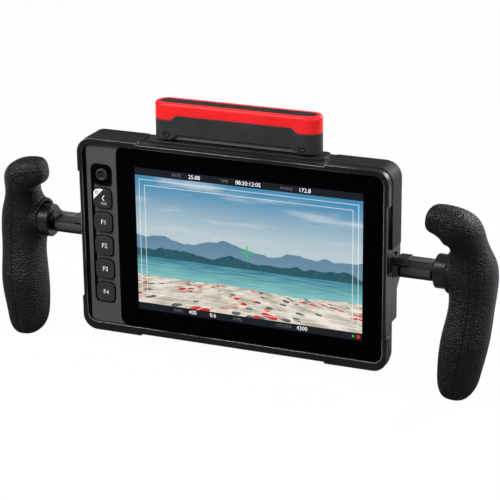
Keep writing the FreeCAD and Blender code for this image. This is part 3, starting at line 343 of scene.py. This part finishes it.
patch = place.node("ShaderNodeTexNoise", {}, {"Vector": ground, "Scale": 0.16, "Detail": 1.0}, "Fac")
field = ((lucky > 0.42) * (petal < 0.42) * patch.step(0.46, 0.54)).mix(field, tone(205, 54, 46))
field = ((lucky < 0.2) * (petal < 0.4)).mix(field, tone(92, 104, 104))
view = meadow.mix(view, field)
picture_share = 0.9
guide_width = 0.0016
guide_strength = 0.55
edge_x = 0.5 - abs(along)
edge_z = 0.5 * picture_share - abs(rise)
ratio = picture_width / picture_tall
for inset in (0.018, 0.042):
    near = place.math("MINIMUM", edge_x - inset, edge_z * (1 / ratio) - inset)
    view = ((abs(near) < guide_width) * guide_strength).mix(view, tone(255, 255, 255))
arm_x = (abs(rise) < 0.0045) * (abs(along) < 0.03) * (abs(along) > 0.006)
arm_z = (abs(along) < 0.0028) * (abs(rise) < 0.048) * (abs(rise) > 0.0096)
view = (arm_x + arm_z).mix(view, tone(52, 205, 70))
lit = (edge_z < 0.0).mix(view, tone(30, 33, 38))
bar_middle = 0.5 - (1 - picture_share) / 4
for spot_x, size, colour in ((0.462, 0.0052, tone(40, 200, 60)), (0.484, 0.0085, tone(205, 40, 50))):
    off_x = along - spot_x
    off_z = (rise + bar_middle) * (1 / ratio)
    lit = (off_x * off_x + off_z * off_z < size * size).mix(lit, colour)
active = (abs(along) < 0.5) * (abs(rise) < 0.5)
feed(glass_finish, Emission_Color=active.mix((0, 0, 0, 1), lit))
dress(glass_finish, "cover_glass")


# Readouts: light characters on the bars above and below the picture.
# They are thin flat letters on the glass, white for values and grey for their names.
def lettering(name, rows, face, made, body, bold=0.0):
    """Flat letters facing the viewer. A row is text, height, middle across and middle up."""
    half_thickness = 0.00002
    points = []
    faces = []
    for text, size, across, up in rows:
        curve = bpy.data.curves.new(name, "FONT")
        curve.body = text
        curve.size = size
        curve.align_x = "CENTER"
        curve.align_y = "CENTER"
        curve.extrude = half_thickness
        curve.offset = bold * size
        writing = bpy.data.objects.new(name, curve)
        bpy.context.scene.collection.objects.link(writing)
        bpy.context.view_layer.update()
        outline = bpy.data.meshes.new_from_object(writing)
        flat = np.zeros(len(outline.vertices) * 3)
        outline.vertices.foreach_get("co", flat)
        flat = flat.reshape(-1, 3)
        start = sum(len(block) for block in points)
        front = face - 2 * half_thickness - flat[:, 2]
        points.append(np.stack((flat[:, 0] + across, front, flat[:, 1] + up), 1))
        faces.extend([[start + corner for corner in polygon.vertices] for polygon in outline.polygons])
        bpy.data.objects.remove(writing)
    mesh = bpy.data.meshes.new(name)
    mesh.from_pydata(np.concatenate(points).tolist(), [], faces)
    mesh.materials.append(made)
    piece = bpy.data.objects.new(name, mesh)
    bpy.context.scene.collection.objects.link(piece)
    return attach(piece, body)


def ink(name, colour, glow):
    """Printed or lit ink with a faint unevenness."""
    made, place = new_finish(name, Roughness=0.5, Emission_Strength=glow)
    shade = noise(place, 1800.0)
    pale = shade.mix(colour, tuple(0.9 * share for share in colour[:3]) + (1.0,))
    feed(made, Base_Color=pale, Emission_Color=pale)
    return made


readout_white = ink("readout_white", tone(225, 228, 230), 0.6)
readout_grey = ink("readout_grey", tone(88, 92, 98), 0.6)
value_size = 0.0036
name_size = 0.0026
bar_up = picture_middle[1] + bar_middle * picture_tall
bar_down = picture_middle[1] - bar_middle * picture_tall
start_x = picture_middle[0] - picture_width / 2
values = lettering("screen_values", [(text, value_size, start_x + across, up) for text, across, up in (
    ("25.00", 0.0405, bar_up), ("08:30:12:05", 0.0765, bar_up), ("172.8", 0.1135, bar_up),
    ("400", 0.0375, bar_down), ("0.6", 0.0515, bar_down), ("4300", 0.1115, bar_down),
)], glass_face, readout_white, "monitor")
names = lettering("screen_names", [(text, name_size, start_x + across, up) for text, across, up in (
    ("RATE", 0.0285, bar_up), ("TIME", 0.0605, bar_up), ("ANGLE", 0.1015, bar_up),
    ("GAIN", 0.0275, bar_down), ("COLOUR", 0.0995, bar_down), ("LEVEL", 0.0685, bar_down),
)], glass_face, readout_grey, "monitor")


# Keys: soft-touch caps on silicone domes, each with a white printed legend.
# The web between them and the joystick's gate are of the same dark moulded plastic.
# The back key has a white printed corner with a small ring in it.
def moulded(name, dark, light, grain, edge, roughness, wear_and_painted_light=None, shine=0.15):
    """Moulded plastic: spark-eroded grain, a slight cloud of tone and softened edges."""
    made, place = new_finish(name, Specular_IOR_Level=shine)
    fine = noise(place, grain, 2.0)
    cloud = noise(place, 60.0)
    rounded, rim = soft_edge(place, edge)
    colour = (cloud * 0.7 + fine * 0.3).step(0.25, 0.75).mix(dark, light)
    # The rim tone on the edges is wear and painted light: painted highlight on some finishes, painted shade
    # on others.
    feed(made, Base_Color=(rim * 0.85).mix(colour, wear_and_painted_light or light), Roughness=fine * 0.14 + (roughness - 0.07),
         Normal=bump(place, fine, 0.000025, rounded))
    return made


# The keys' lighter edge tone is wear and painted highlight.
key_black = moulded("key_black", tone(43, 43, 43), tone(54, 54, 54), 3200.0, 0.0005, 0.5, tone(84, 84, 84))
key_low, key_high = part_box("key_f1")
key_wall = key_low.y + 0.0004
# Painted shade: the keys' side walls behind the face are painted near black, darkening the gaps.
paint_over(key_black, parts_of(place_in(key_black))[1] > key_wall, tone(2, 2, 2))
dress(key_black, "key_f1", "key_f2", "key_f3", "key_f4")
# Painted shade: the web's edges round the keys take a near black rim tone.
web_grey = moulded("web_grey", tone(70, 70, 70), tone(80, 80, 80), 3200.0, 0.0011, 0.5, tone(2, 2, 2))
web_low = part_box("key_web")[0]
web_skin = 0.0001
web_shade = 0.0024
across_x, across_y, across_z = parts_of(place_in(web_grey))
# Painted shade and painted shadow: the web's faces behind its front and a band along its left margin.
web_painted_shade = (across_y > web_low.y + web_skin) + (across_x < web_low.x + web_shade) > 0.5
paint_over(web_grey, web_painted_shade, tone(2, 2, 2))
dress(web_grey, "key_web")
gate_black = moulded("gate_black", tone(2, 2, 2), tone(5, 5, 5), 3200.0, 0.0004, 0.4, tone(9, 9, 9), 0.03)
dress(gate_black, "joystick_gate")
legend_white = ink("legend_white", tone(236, 236, 236), 0.0)
legend_size = 0.0042
legend_bold = 0.006
column_x = (key_low.x + key_high.x) / 2
for number in (1, 2, 3, 4):
    low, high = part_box(f"key_f{number}")
    lettering(f"legend_f{number}", [(f"F{number}", legend_size, column_x + 0.0003, (low.z + high.z) / 2)],
              low.y, legend_white, f"key_f{number}", legend_bold)
low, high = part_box("key_back")
back_z = (low.z + high.z) / 2
lettering("legend_back", [("\u2039", 0.0085, column_x + 0.0006, back_z + 0.0010),
                          ("back", 0.0022, column_x + 0.0009, back_z - 0.0031)],
          low.y, legend_white, "key_back")
key_half = 0.0061
corner_leg = 0.0068
print_depth = 0.0003
corner_x = column_x - key_half
corner_z = back_z + key_half
# The back key's lighter edge tone is wear and painted highlight.
key_split = moulded("key_split", tone(41, 41, 41), tone(52, 52, 52), 3200.0, 0.0005, 0.5, tone(80, 80, 80))
across_x, across_y, across_z = parts_of(place_in(key_split))
corner = ((across_x - corner_x) + (corner_z - across_z) < corner_leg) * (across_y < low.y + print_depth)
paint_over(key_split, corner, tone(238, 238, 238))
# Painted shade: the back key's side walls are painted near black.
paint_over(key_split, across_y > key_wall, tone(2, 2, 2))
ring_radius = 0.0009
ring_band = 0.0000005
ring_x = across_x - (corner_x + 0.0021)
ring_z = across_z - (corner_z - 0.0022)
ring = abs(ring_x * ring_x + ring_z * ring_z - ring_radius ** 2) < ring_band
paint_over(key_split, ring * corner, tone(150, 150, 150))
dress(key_split, "key_back")

# Joystick: a small dished knob of hard rubber on a stem, standing in a round well.
# The stem tilts two ways in a moulded gimbal, and the carrier below it slides when the knob is pressed.
# Painted highlight: the knob's pale rim tone on its edges.
knob_rubber = moulded("knob_rubber", tone(26, 26, 26), tone(34, 34, 34), 2600.0, 0.0006, 0.36,
                      tone(128, 128, 128))
dress(knob_rubber, "joystick_stick", "joystick_carrier", "joystick_gimbal", "joystick_housing")

# Bumpers: pads of moulded rubber pressed into the upper corners of the casing.
# Their tops are dull, and their edges are painted nearly black as painted shade, so their walls read nearly
# black.
# Painted shade: the rim tone darkens the bumpers' edges to near black.
bumper_rubber = moulded("bumper_rubber", tone(8, 8, 9), tone(14, 14, 15), 1800.0, 0.0007, 0.62,
                        tone(3, 3, 3), 0.3)
dress(bumper_rubber, "bumper_top_right", "bumper_top_left", "key_mat")

# Receiver: a black moulded shell with a bright red cap that lets radio through, and a grey inlay on top.
# A long recess runs along the foot of the shell between the two screws that hold it; its walls are painted
# near black as painted shade and its floor pale grey as painted light. Round each screw a darker disc is
# painted as the shade of a counterbore. The battery plate, the latch and the fan at the back are moulded
# alike.
# The shell's lighter edge tone is wear and painted highlight.
shell_black = moulded("shell_black", tone(42, 42, 44), tone(53, 53, 55), 2800.0, 0.0004, 0.5,
                      tone(84, 84, 86))
shell_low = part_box("receiver_shell")[0]
screw_low, screw_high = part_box("receiver_screws")
receiver_head = 0.0017
counterbore_shade_radius = 0.0023
across_x, across_y, across_z = parts_of(place_in(shell_black))
ring_x = abs(across_x) - (screw_high.x - receiver_head)
ring_z = across_z - (screw_low.z + receiver_head)
# Painted shade: a darker disc round each screw stands for its shaded counterbore.
paint_over(shell_black, ring_x * ring_x + ring_z * ring_z < counterbore_shade_radius ** 2, tone(9, 9, 9))
skirt_height = 0.0032
skirt_cut = 0.0015
skirt_skin = 0.0001
inward = across_y - shell_low.y
skirt = abs(across_x) < screw_high.x - 2 * receiver_head
skirt = skirt * (across_z < shell_low.z + skirt_height + skirt_skin)
# Painted shade: the recess walls are painted near black.
paint_over(shell_black, skirt * (inward > skirt_skin) * (inward < skirt_cut - skirt_skin), tone(4, 4, 4))
# Painted light: the recess floor is painted pale grey.
paint_over(shell_black, skirt * (abs(inward - skirt_cut) < skirt_skin), tone(96, 96, 98))
dress(shell_black, "receiver_shell", "receiver_connector", "battery_plate", "fan_housing", "fan_rotor")
# Painted highlight: the cap's paler tone on its rounded edges.
cap_red = moulded("cap_red", tone(226, 30, 34), tone(241, 42, 46), 2400.0, 0.0012, 0.36, tone(255, 74, 76))
dress(cap_red, "receiver_cap")
inlay_grey = moulded("inlay_grey", tone(30, 32, 32), tone(42, 44, 44), 2400.0, 0.0003, 0.6)
dress(inlay_grey, "receiver_inlay", "battery_latch")


# Posts and lock collars: turned aluminium, black anodised, with the faint rings of the lathe tool.
# A flat rail lies along the top of each post. Its top and the hub are painted paler as painted light, and a
# seam line below the rail, a band at each end of the tube and the tube's underside are painted near black as
# painted shade.
def turned_metal(name, dark, light, roughness, metallic, shine=0.4):
    """Lathe rings: bands along X of a sine, with noise in tone."""
    made, place = new_finish(name, Metallic=metallic, Specular_IOR_Level=shine)
    rings = place.node("ShaderNodeTexWave", {"bands_direction": "X"},
                       {"Vector": place, "Scale": 900.0, "Distortion": 0.4, "Detail": 1.0}, "Fac")
    cloud = noise(place, 90.0)
    rounded, rim = soft_edge(place, 0.0004)
    colour = (cloud * 0.6 + rings * 0.4).mix(dark, light)
    # Edges painted lighter: wear and painted highlight.
    feed(made, Base_Color=(rim * 0.5).mix(colour, tuple(2 * share for share in light[:3]) + (1.0,)),
         Roughness=cloud * 0.1 + (roughness - 0.05), Normal=bump(place, rings, 0.000008, rounded))
    return made


post_black = turned_metal("post_black", tone(62, 62, 63), tone(72, 72, 73), 0.3, 0.0, 0.1)
collar_low, collar_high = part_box("lock_collar_right")
post_y = (collar_low.y + collar_high.y) / 2
post_z = (collar_low.z + collar_high.z) / 2
rail_rise = 0.0059
rail_skin = 0.0003
seam_rise = 0.0013
seam_half = 0.0006
seam_inset = 0.003
hub_length = 0.0034
tube_gap = 0.0006
groove_half = 0.0007
end_length = 0.0031
hub_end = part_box("front_frame")[1].x + hub_length
across_x, across_y, across_z = parts_of(place_in(post_black))
# Painted light: the rail's top is painted paler.
paint_over(post_black, abs(across_z - (post_z + rail_rise)) < rail_skin, tone(96, 96, 97))
# Painted shade: a dark seam line below the rail.
seam_shade = (abs(across_z - (post_z + seam_rise)) < seam_half) * (abs(across_y - post_y) > seam_inset)
paint_over(post_black, seam_shade, tone(2, 2, 2))
below_rail = across_z < post_z + seam_rise
# Painted shade: the tube is painted darker towards its underside.
paint_over(post_black, (post_z - across_z).step(0.0025, 0.006) * 0.9, tone(3, 3, 3))
# Painted light: the hub is painted paler.
paint_over(post_black, (abs(across_x) < hub_end) * below_rail, tone(92, 92, 93))
# Painted shade: dark bands at the hub end and the collar end of the tube.
hub_groove_shade = abs(abs(across_x) - (hub_end + tube_gap / 2)) < groove_half
end_groove_shade = abs(across_x) > collar_low.x - end_length
paint_over(post_black, (hub_groove_shade + end_groove_shade) * below_rail, tone(2, 2, 2))
dress(post_black, "post_left", "post_right")
collar_black = turned_metal("collar_black", tone(26, 26, 27), tone(36, 36, 37), 0.26, 0.0, 0.3)
dress(collar_black, "lock_collar_left", "lock_collar_right")


# Screws: black steel cap screws with a hexagon socket, eight in the rear cover and two through the receiver,
# which show a head at the front and at the back. The side sockets that take the posts are turned from
# the same blackened steel.
screw_black = turned_metal("screw_black", tone(46, 46, 47), tone(60, 60, 61), 0.35, 0.3)
dress(screw_black, "side_socket_left", "side_socket_right")


def socket_heads(name, places, radius, body, made):
    """Screw heads: rings about an axis along Y, of a circle's radius outside and a hexagon's in the socket.

    A hexagon's radius at a turn is its half width over the cosine of the turn from the middle of its flat.
    """
    chamfer = 0.12 * radius
    key = 0.48 * radius
    round_rings = np.array(((radius, 6 * chamfer), (radius, chamfer), (radius - chamfer, 0), (1.3 * key, 0)))
    hexagon_rings = np.array(((key, 0.5 * chamfer), (key, 5 * chamfer), (0.01 * key, 6 * chamfer)))
    turn = np.arange(36) * np.pi / 18
    flat = np.cos(np.mod(turn, np.pi / 3) - np.pi / 6)
    out = np.concatenate((np.repeat(round_rings[:, :1], 36, 1), hexagon_rings[:, :1] / flat))
    deep = np.repeat(np.concatenate((round_rings, hexagon_rings))[:, 1:], 36, 1)
    ring = np.arange(out.shape[0] - 1)[:, None] * 36
    step = np.arange(36)[None, :]
    after = (step + 1) % 36
    quads = np.stack((ring + step, ring + after, ring + 36 + after, ring + 36 + step), -1).reshape(-1, 4)
    points = []
    faces = []
    for number, (x, face, z, facing) in enumerate(places):
        block = np.stack((x + out * np.cos(turn), face - facing * deep, z - facing * out * np.sin(turn)), -1)
        points.append(block.reshape(-1, 3))
        faces.append(quads + number * out.size)
    mesh = bpy.data.meshes.new(name)
    mesh.from_pydata(np.concatenate(points).tolist(), [], np.concatenate(faces).tolist())
    mesh.materials.append(made)
    piece = bpy.data.objects.new(name, mesh)
    bpy.context.scene.collection.objects.link(piece)
    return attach(piece, body)


screw_x = screw_high.x - receiver_head
screw_z = (screw_low.z + screw_high.z) / 2
heads = [(x, face, screw_z, facing) for x in (-screw_x, screw_x)
         for face, facing in ((screw_low.y, -1), (screw_high.y, 1))]
receiver_heads = socket_heads("receiver_screw_heads", heads, receiver_head, "monitor", screw_black)
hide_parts("receiver_screws")
screw_low, screw_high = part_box("rear_screws")
rear_head = 0.0021
outer_x = 0.0914
inner_x = 0.0342
ledge_face = -0.001
heads = [(x, face, z, 1) for x in (-outer_x, -inner_x, inner_x, outer_x)
         for face, z in ((screw_high.y, screw_high.z - rear_head), (ledge_face, screw_low.z + rear_head))]
rear_heads = socket_heads("rear_screw_heads", heads, rear_head, "monitor", screw_black)
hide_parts("rear_screws")

# Inner pieces and sockets: plated steel sockets, bolts and thread insert, aluminium tray, spreader and cores,
# gold-toned brass for aerials, contacts and standoffs, and green fibreglass boards.
# They are screwed or pressed into the casing, and only their edges show, through vents and openings.
steel = turned_metal("steel", tone(150, 150, 152), tone(178, 178, 180), 0.32, 1.0)
dress(steel, "grip_bolt_left", "grip_bolt_right", "tripod_insert",
      "coax_jacks", "power_socket", "video_socket")
aluminium = turned_metal("aluminium", tone(170, 170, 173), tone(196, 196, 199), 0.4, 1.0)
dress(aluminium, "backlight_tray", "heat_spreader", "grip_core_left", "grip_core_right")
brass = turned_metal("brass", tone(176, 142, 74), tone(206, 172, 96), 0.3, 1.0)
dress(brass, "board_standoffs", "aerials", "battery_contacts")
board_green = moulded("board_green", tone(18, 62, 40), tone(28, 84, 56), 1500.0, 0.0002, 0.4)
dress(board_green, "main_board", "key_board", "aerial_board")
dress(gate_black, "lcd_panel")


# Grips: rubber moulded over a metal core, blunt at the foot, with a horn that curls in over the hand.
# The skin is pebbled all over, and the thin parting line of the mould runs up the front and the back.
def smooth_through(knots, values, spots):
    """Natural cubic spline: a curve through values at knots, with no bend at its ends, read at spots."""
    gap = np.diff(knots)
    slope = np.diff(values, axis=0) / gap[:, None]
    inner = np.arange(1, len(knots) - 1)
    matrix = np.eye(len(knots))
    matrix[inner, inner - 1] = gap[:-1]
    matrix[inner, inner] = 2 * (gap[:-1] + gap[1:])
    matrix[inner, inner + 1] = gap[1:]
    right = np.zeros_like(values)
    right[1:-1] = 6 * np.diff(slope, axis=0)
    bend = np.linalg.solve(matrix, right)
    cell = np.clip(np.searchsorted(knots, spots) - 1, 0, len(gap) - 1)
    ahead = (spots - knots[cell])[:, None]
    width = gap[cell][:, None]
    start = slope[cell] - width * (2 * bend[cell] + bend[cell + 1]) / 6
    curl = bend[cell] / 2 + ahead * np.diff(bend, axis=0)[cell] / (6 * width)
    return values[cell] + ahead * (start + ahead * curl)


# Stations from the foot to the horn: inward, forward, upward and half width in millimetres, lean in degrees
grip_stations = np.array((
    (7.15, 12.5, -75.2, 3.45, 4), (6.9, 11.3, -74.1, 7.04, 4), (6.4, 9.7, -70.5, 10.35, 4),
    (5.6, 7.8, -60.9, 12.7, 6), (2.5, 5.0, -36.5, 14.1, 8), (0.8, 1.2, -19.9, 13.4, 4),
    (1.3, -1.5, 4.9, 13.8, -5), (3.4, 3.6, 20.9, 10.9, -13), (6.9, 8.6, 30.0, 11.9, -42),
    (13.5, 10.9, 34.8, 10.2, -66), (19.6, 12.0, 36.9, 8.8, -76), (23.6, 13.1, 37.7, 7.3, -80),
    (25.4, 13.9, 37.9, 4.55, -82), (26.0, 14.5, 37.9, 1.66, -82),
))
grip_stations[:, :4] *= 0.001
grip_stations[:, 4] = np.radians(grip_stations[:, 4])
grip_x = 0.1529
grip_flare = 1.1
squareness = 2.5
boss_face = collar_high.x + 0.0001
boss_soft = 0.0008
boss_radius = 0.0128
boss_slope = 3.6
boss_fillet = 0.0022
boss_back = 0.002
rim_radius = 0.0135
rim_round = 0.0008
core = 0.008
rows = 210
columns = 168


def soft_larger(first, second, blend):
    """The larger of two lengths, rounded over a blend length where they are near."""
    return (first + second + np.sqrt((first - second) ** 2 + blend ** 2)) / 2


def grip_skin(name, side):
    """A squared oval carried along the stations, pulled out on its inner side to a flared boss at the collar.

    The oval is the sine and cosine of the turn, each raised to two over the squareness. The boss is a cone
    about the post: its distance along the post grows by the slope with the distance from the post. Round it
    lies a rim turned about the post, with a quarter circle for its edge.
    """
    knots = np.append(0, np.cumsum(np.linalg.norm(np.diff(grip_stations[:, :4], axis=0), axis=1)))
    path = smooth_through(knots, grip_stations, np.linspace(0, knots[-1], rows))
    inward, forward, upward, half, lean = (path[:, number, None] for number in range(5))
    turn = np.arange(columns)[None, :] * 2 * np.pi / columns
    out = np.sign(np.sin(turn)) * np.abs(np.sin(turn)) ** (2 / squareness)
    front = np.sign(np.cos(turn)) * np.abs(np.cos(turn)) ** (2 / squareness)
    x = grip_x - inward + half * out * np.cos(lean)
    y = post_y - forward - half * grip_flare * front
    z = post_z + upward - half * out * np.sin(lean)
    away = np.hypot(y - post_y - boss_back, z - post_z) - boss_radius
    cone = boss_face + boss_slope * soft_larger(away, 0.0, boss_soft)
    drawn = -soft_larger(-x, -cone, boss_fillet)
    drawn = np.where(away < boss_fillet, np.maximum(drawn, boss_face), drawn)
    share = np.clip((-out - 0.05) / 0.5, 0, 1)
    x = x + (drawn - x) * share * share * (3 - 2 * share)
    grid = np.stack((side * x, y, z), -1).reshape(-1, 3)
    ends = np.stack((grid[:columns].mean(0), grid[-columns:].mean(0)))
    row = np.arange(rows - 1)[:, None] * columns
    step = np.arange(columns)[None, :]
    after = (step + 1) % columns
    above = row + columns
    quads = np.stack((row + step, row + after, above + after, above + step), -1).reshape(-1, 4)
    foot = np.stack((after[0], step[0], np.full(columns, rows * columns)), -1)
    last = (rows - 1) * columns
    tip = np.stack((last + step[0], last + after[0], np.full(columns, rows * columns + 1)), -1)
    level = np.arange(rows - 1)[:, None] / (rows - 1)
    higher = level + 1 / (rows - 1)
    lap = step / columns
    next_lap = lap + 1 / columns
    quad_uv = np.broadcast_arrays(lap, level, next_lap, level, next_lap, higher, lap, higher)
    quad_uv = np.stack(quad_uv, -1).reshape(-1, 4, 2)
    low_end = np.zeros(columns)
    high_end = np.ones(columns)
    foot_uv = np.stack((next_lap[0], low_end, lap[0], low_end, lap[0], low_end), -1)
    tip_uv = np.stack((lap[0], high_end, next_lap[0], high_end, lap[0], high_end), -1)
    caps = np.concatenate((foot, tip))
    caps_uv = np.concatenate((foot_uv, tip_uv)).reshape(-1, 3, 2)
    bend = np.linspace(0, np.pi / 2, 7)
    length = grip_x - boss_face
    deep = np.concatenate(([length, 0], rim_round * (1 - np.cos(bend)), [length]))[:, None]
    wide = np.concatenate(([core, core], rim_radius - rim_round * (1 - np.sin(bend)), [boss_radius]))[:, None]
    rim_y = post_y + np.where(wide > core, boss_back, 0) + wide * np.cos(turn)
    rim = np.stack(np.broadcast_arrays(side * (boss_face + deep), rim_y, post_z + wide * np.sin(turn)), -1)
    rim = rim.reshape(-1, 3)
    ring = len(grid) + len(ends) + np.arange(len(deep))[:, None] * columns
    beyond = np.roll(ring, -1, 0)
    rim_quads = np.stack((ring + step, ring + after, beyond + after, beyond + step), -1)
    quads = np.concatenate((quads, rim_quads.reshape(-1, 4)))
    quad_uv = np.concatenate((quad_uv, np.full((rim_quads.size // 4, 4, 2), 0.25)))
    if side < 0:
        quads, quad_uv, caps, caps_uv = quads[:, ::-1], quad_uv[:, ::-1], caps[:, ::-1], caps_uv[:, ::-1]
    mesh = bpy.data.meshes.new(name)
    mesh.from_pydata(np.concatenate((grid, ends, rim)).tolist(), [], quads.tolist() + caps.tolist())
    chart = mesh.uv_layers.new(name="lap")
    chart.data.foreach_set("uv", np.concatenate((quad_uv.ravel(), caps_uv.ravel())))
    mesh.polygons.foreach_set("use_smooth", np.ones(len(mesh.polygons), bool))
    piece = bpy.data.objects.new(name, mesh)
    bpy.context.scene.collection.objects.link(piece)
    return piece


grip_rubber, place = new_finish("grip_rubber", Specular_IOR_Level=0.24)
pebble = place.node("ShaderNodeTexVoronoi", {"feature": "SMOOTH_F1"},
                    {"Vector": place, "Scale": 900.0, "Smoothness": 0.5}, "Distance")
fine = noise(place, 2600.0)
lap = parts_of(place.node("ShaderNodeUVMap", {"uv_map": "lap"}, {}, "UV"))[0]
parting = 1 - abs(abs(lap - 0.512) - 0.5).step(0.003, 0.006)
tint = (pebble * 0.8 + noise(place, 40.0) * 0.4).step(0.25, 0.85).mix(tone(17, 17, 17), tone(5, 5, 5))
feed(grip_rubber, Base_Color=parting.mix(tint, tone(2, 2, 2)), Roughness=fine * 0.14 + 0.4 + parting * 0.5,
     Normal=bump(place, 1 - pebble - parting * 0.7 + fine * 0.06, 0.0006))
for hand, side in (("left", -1), ("right", 1)):
    skin = grip_skin(f"grip_skin_{hand}", side)
    skin.data.materials.append(grip_rubber)
    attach(skin, f"handle_{hand}")
    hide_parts(f"grip_{hand}")
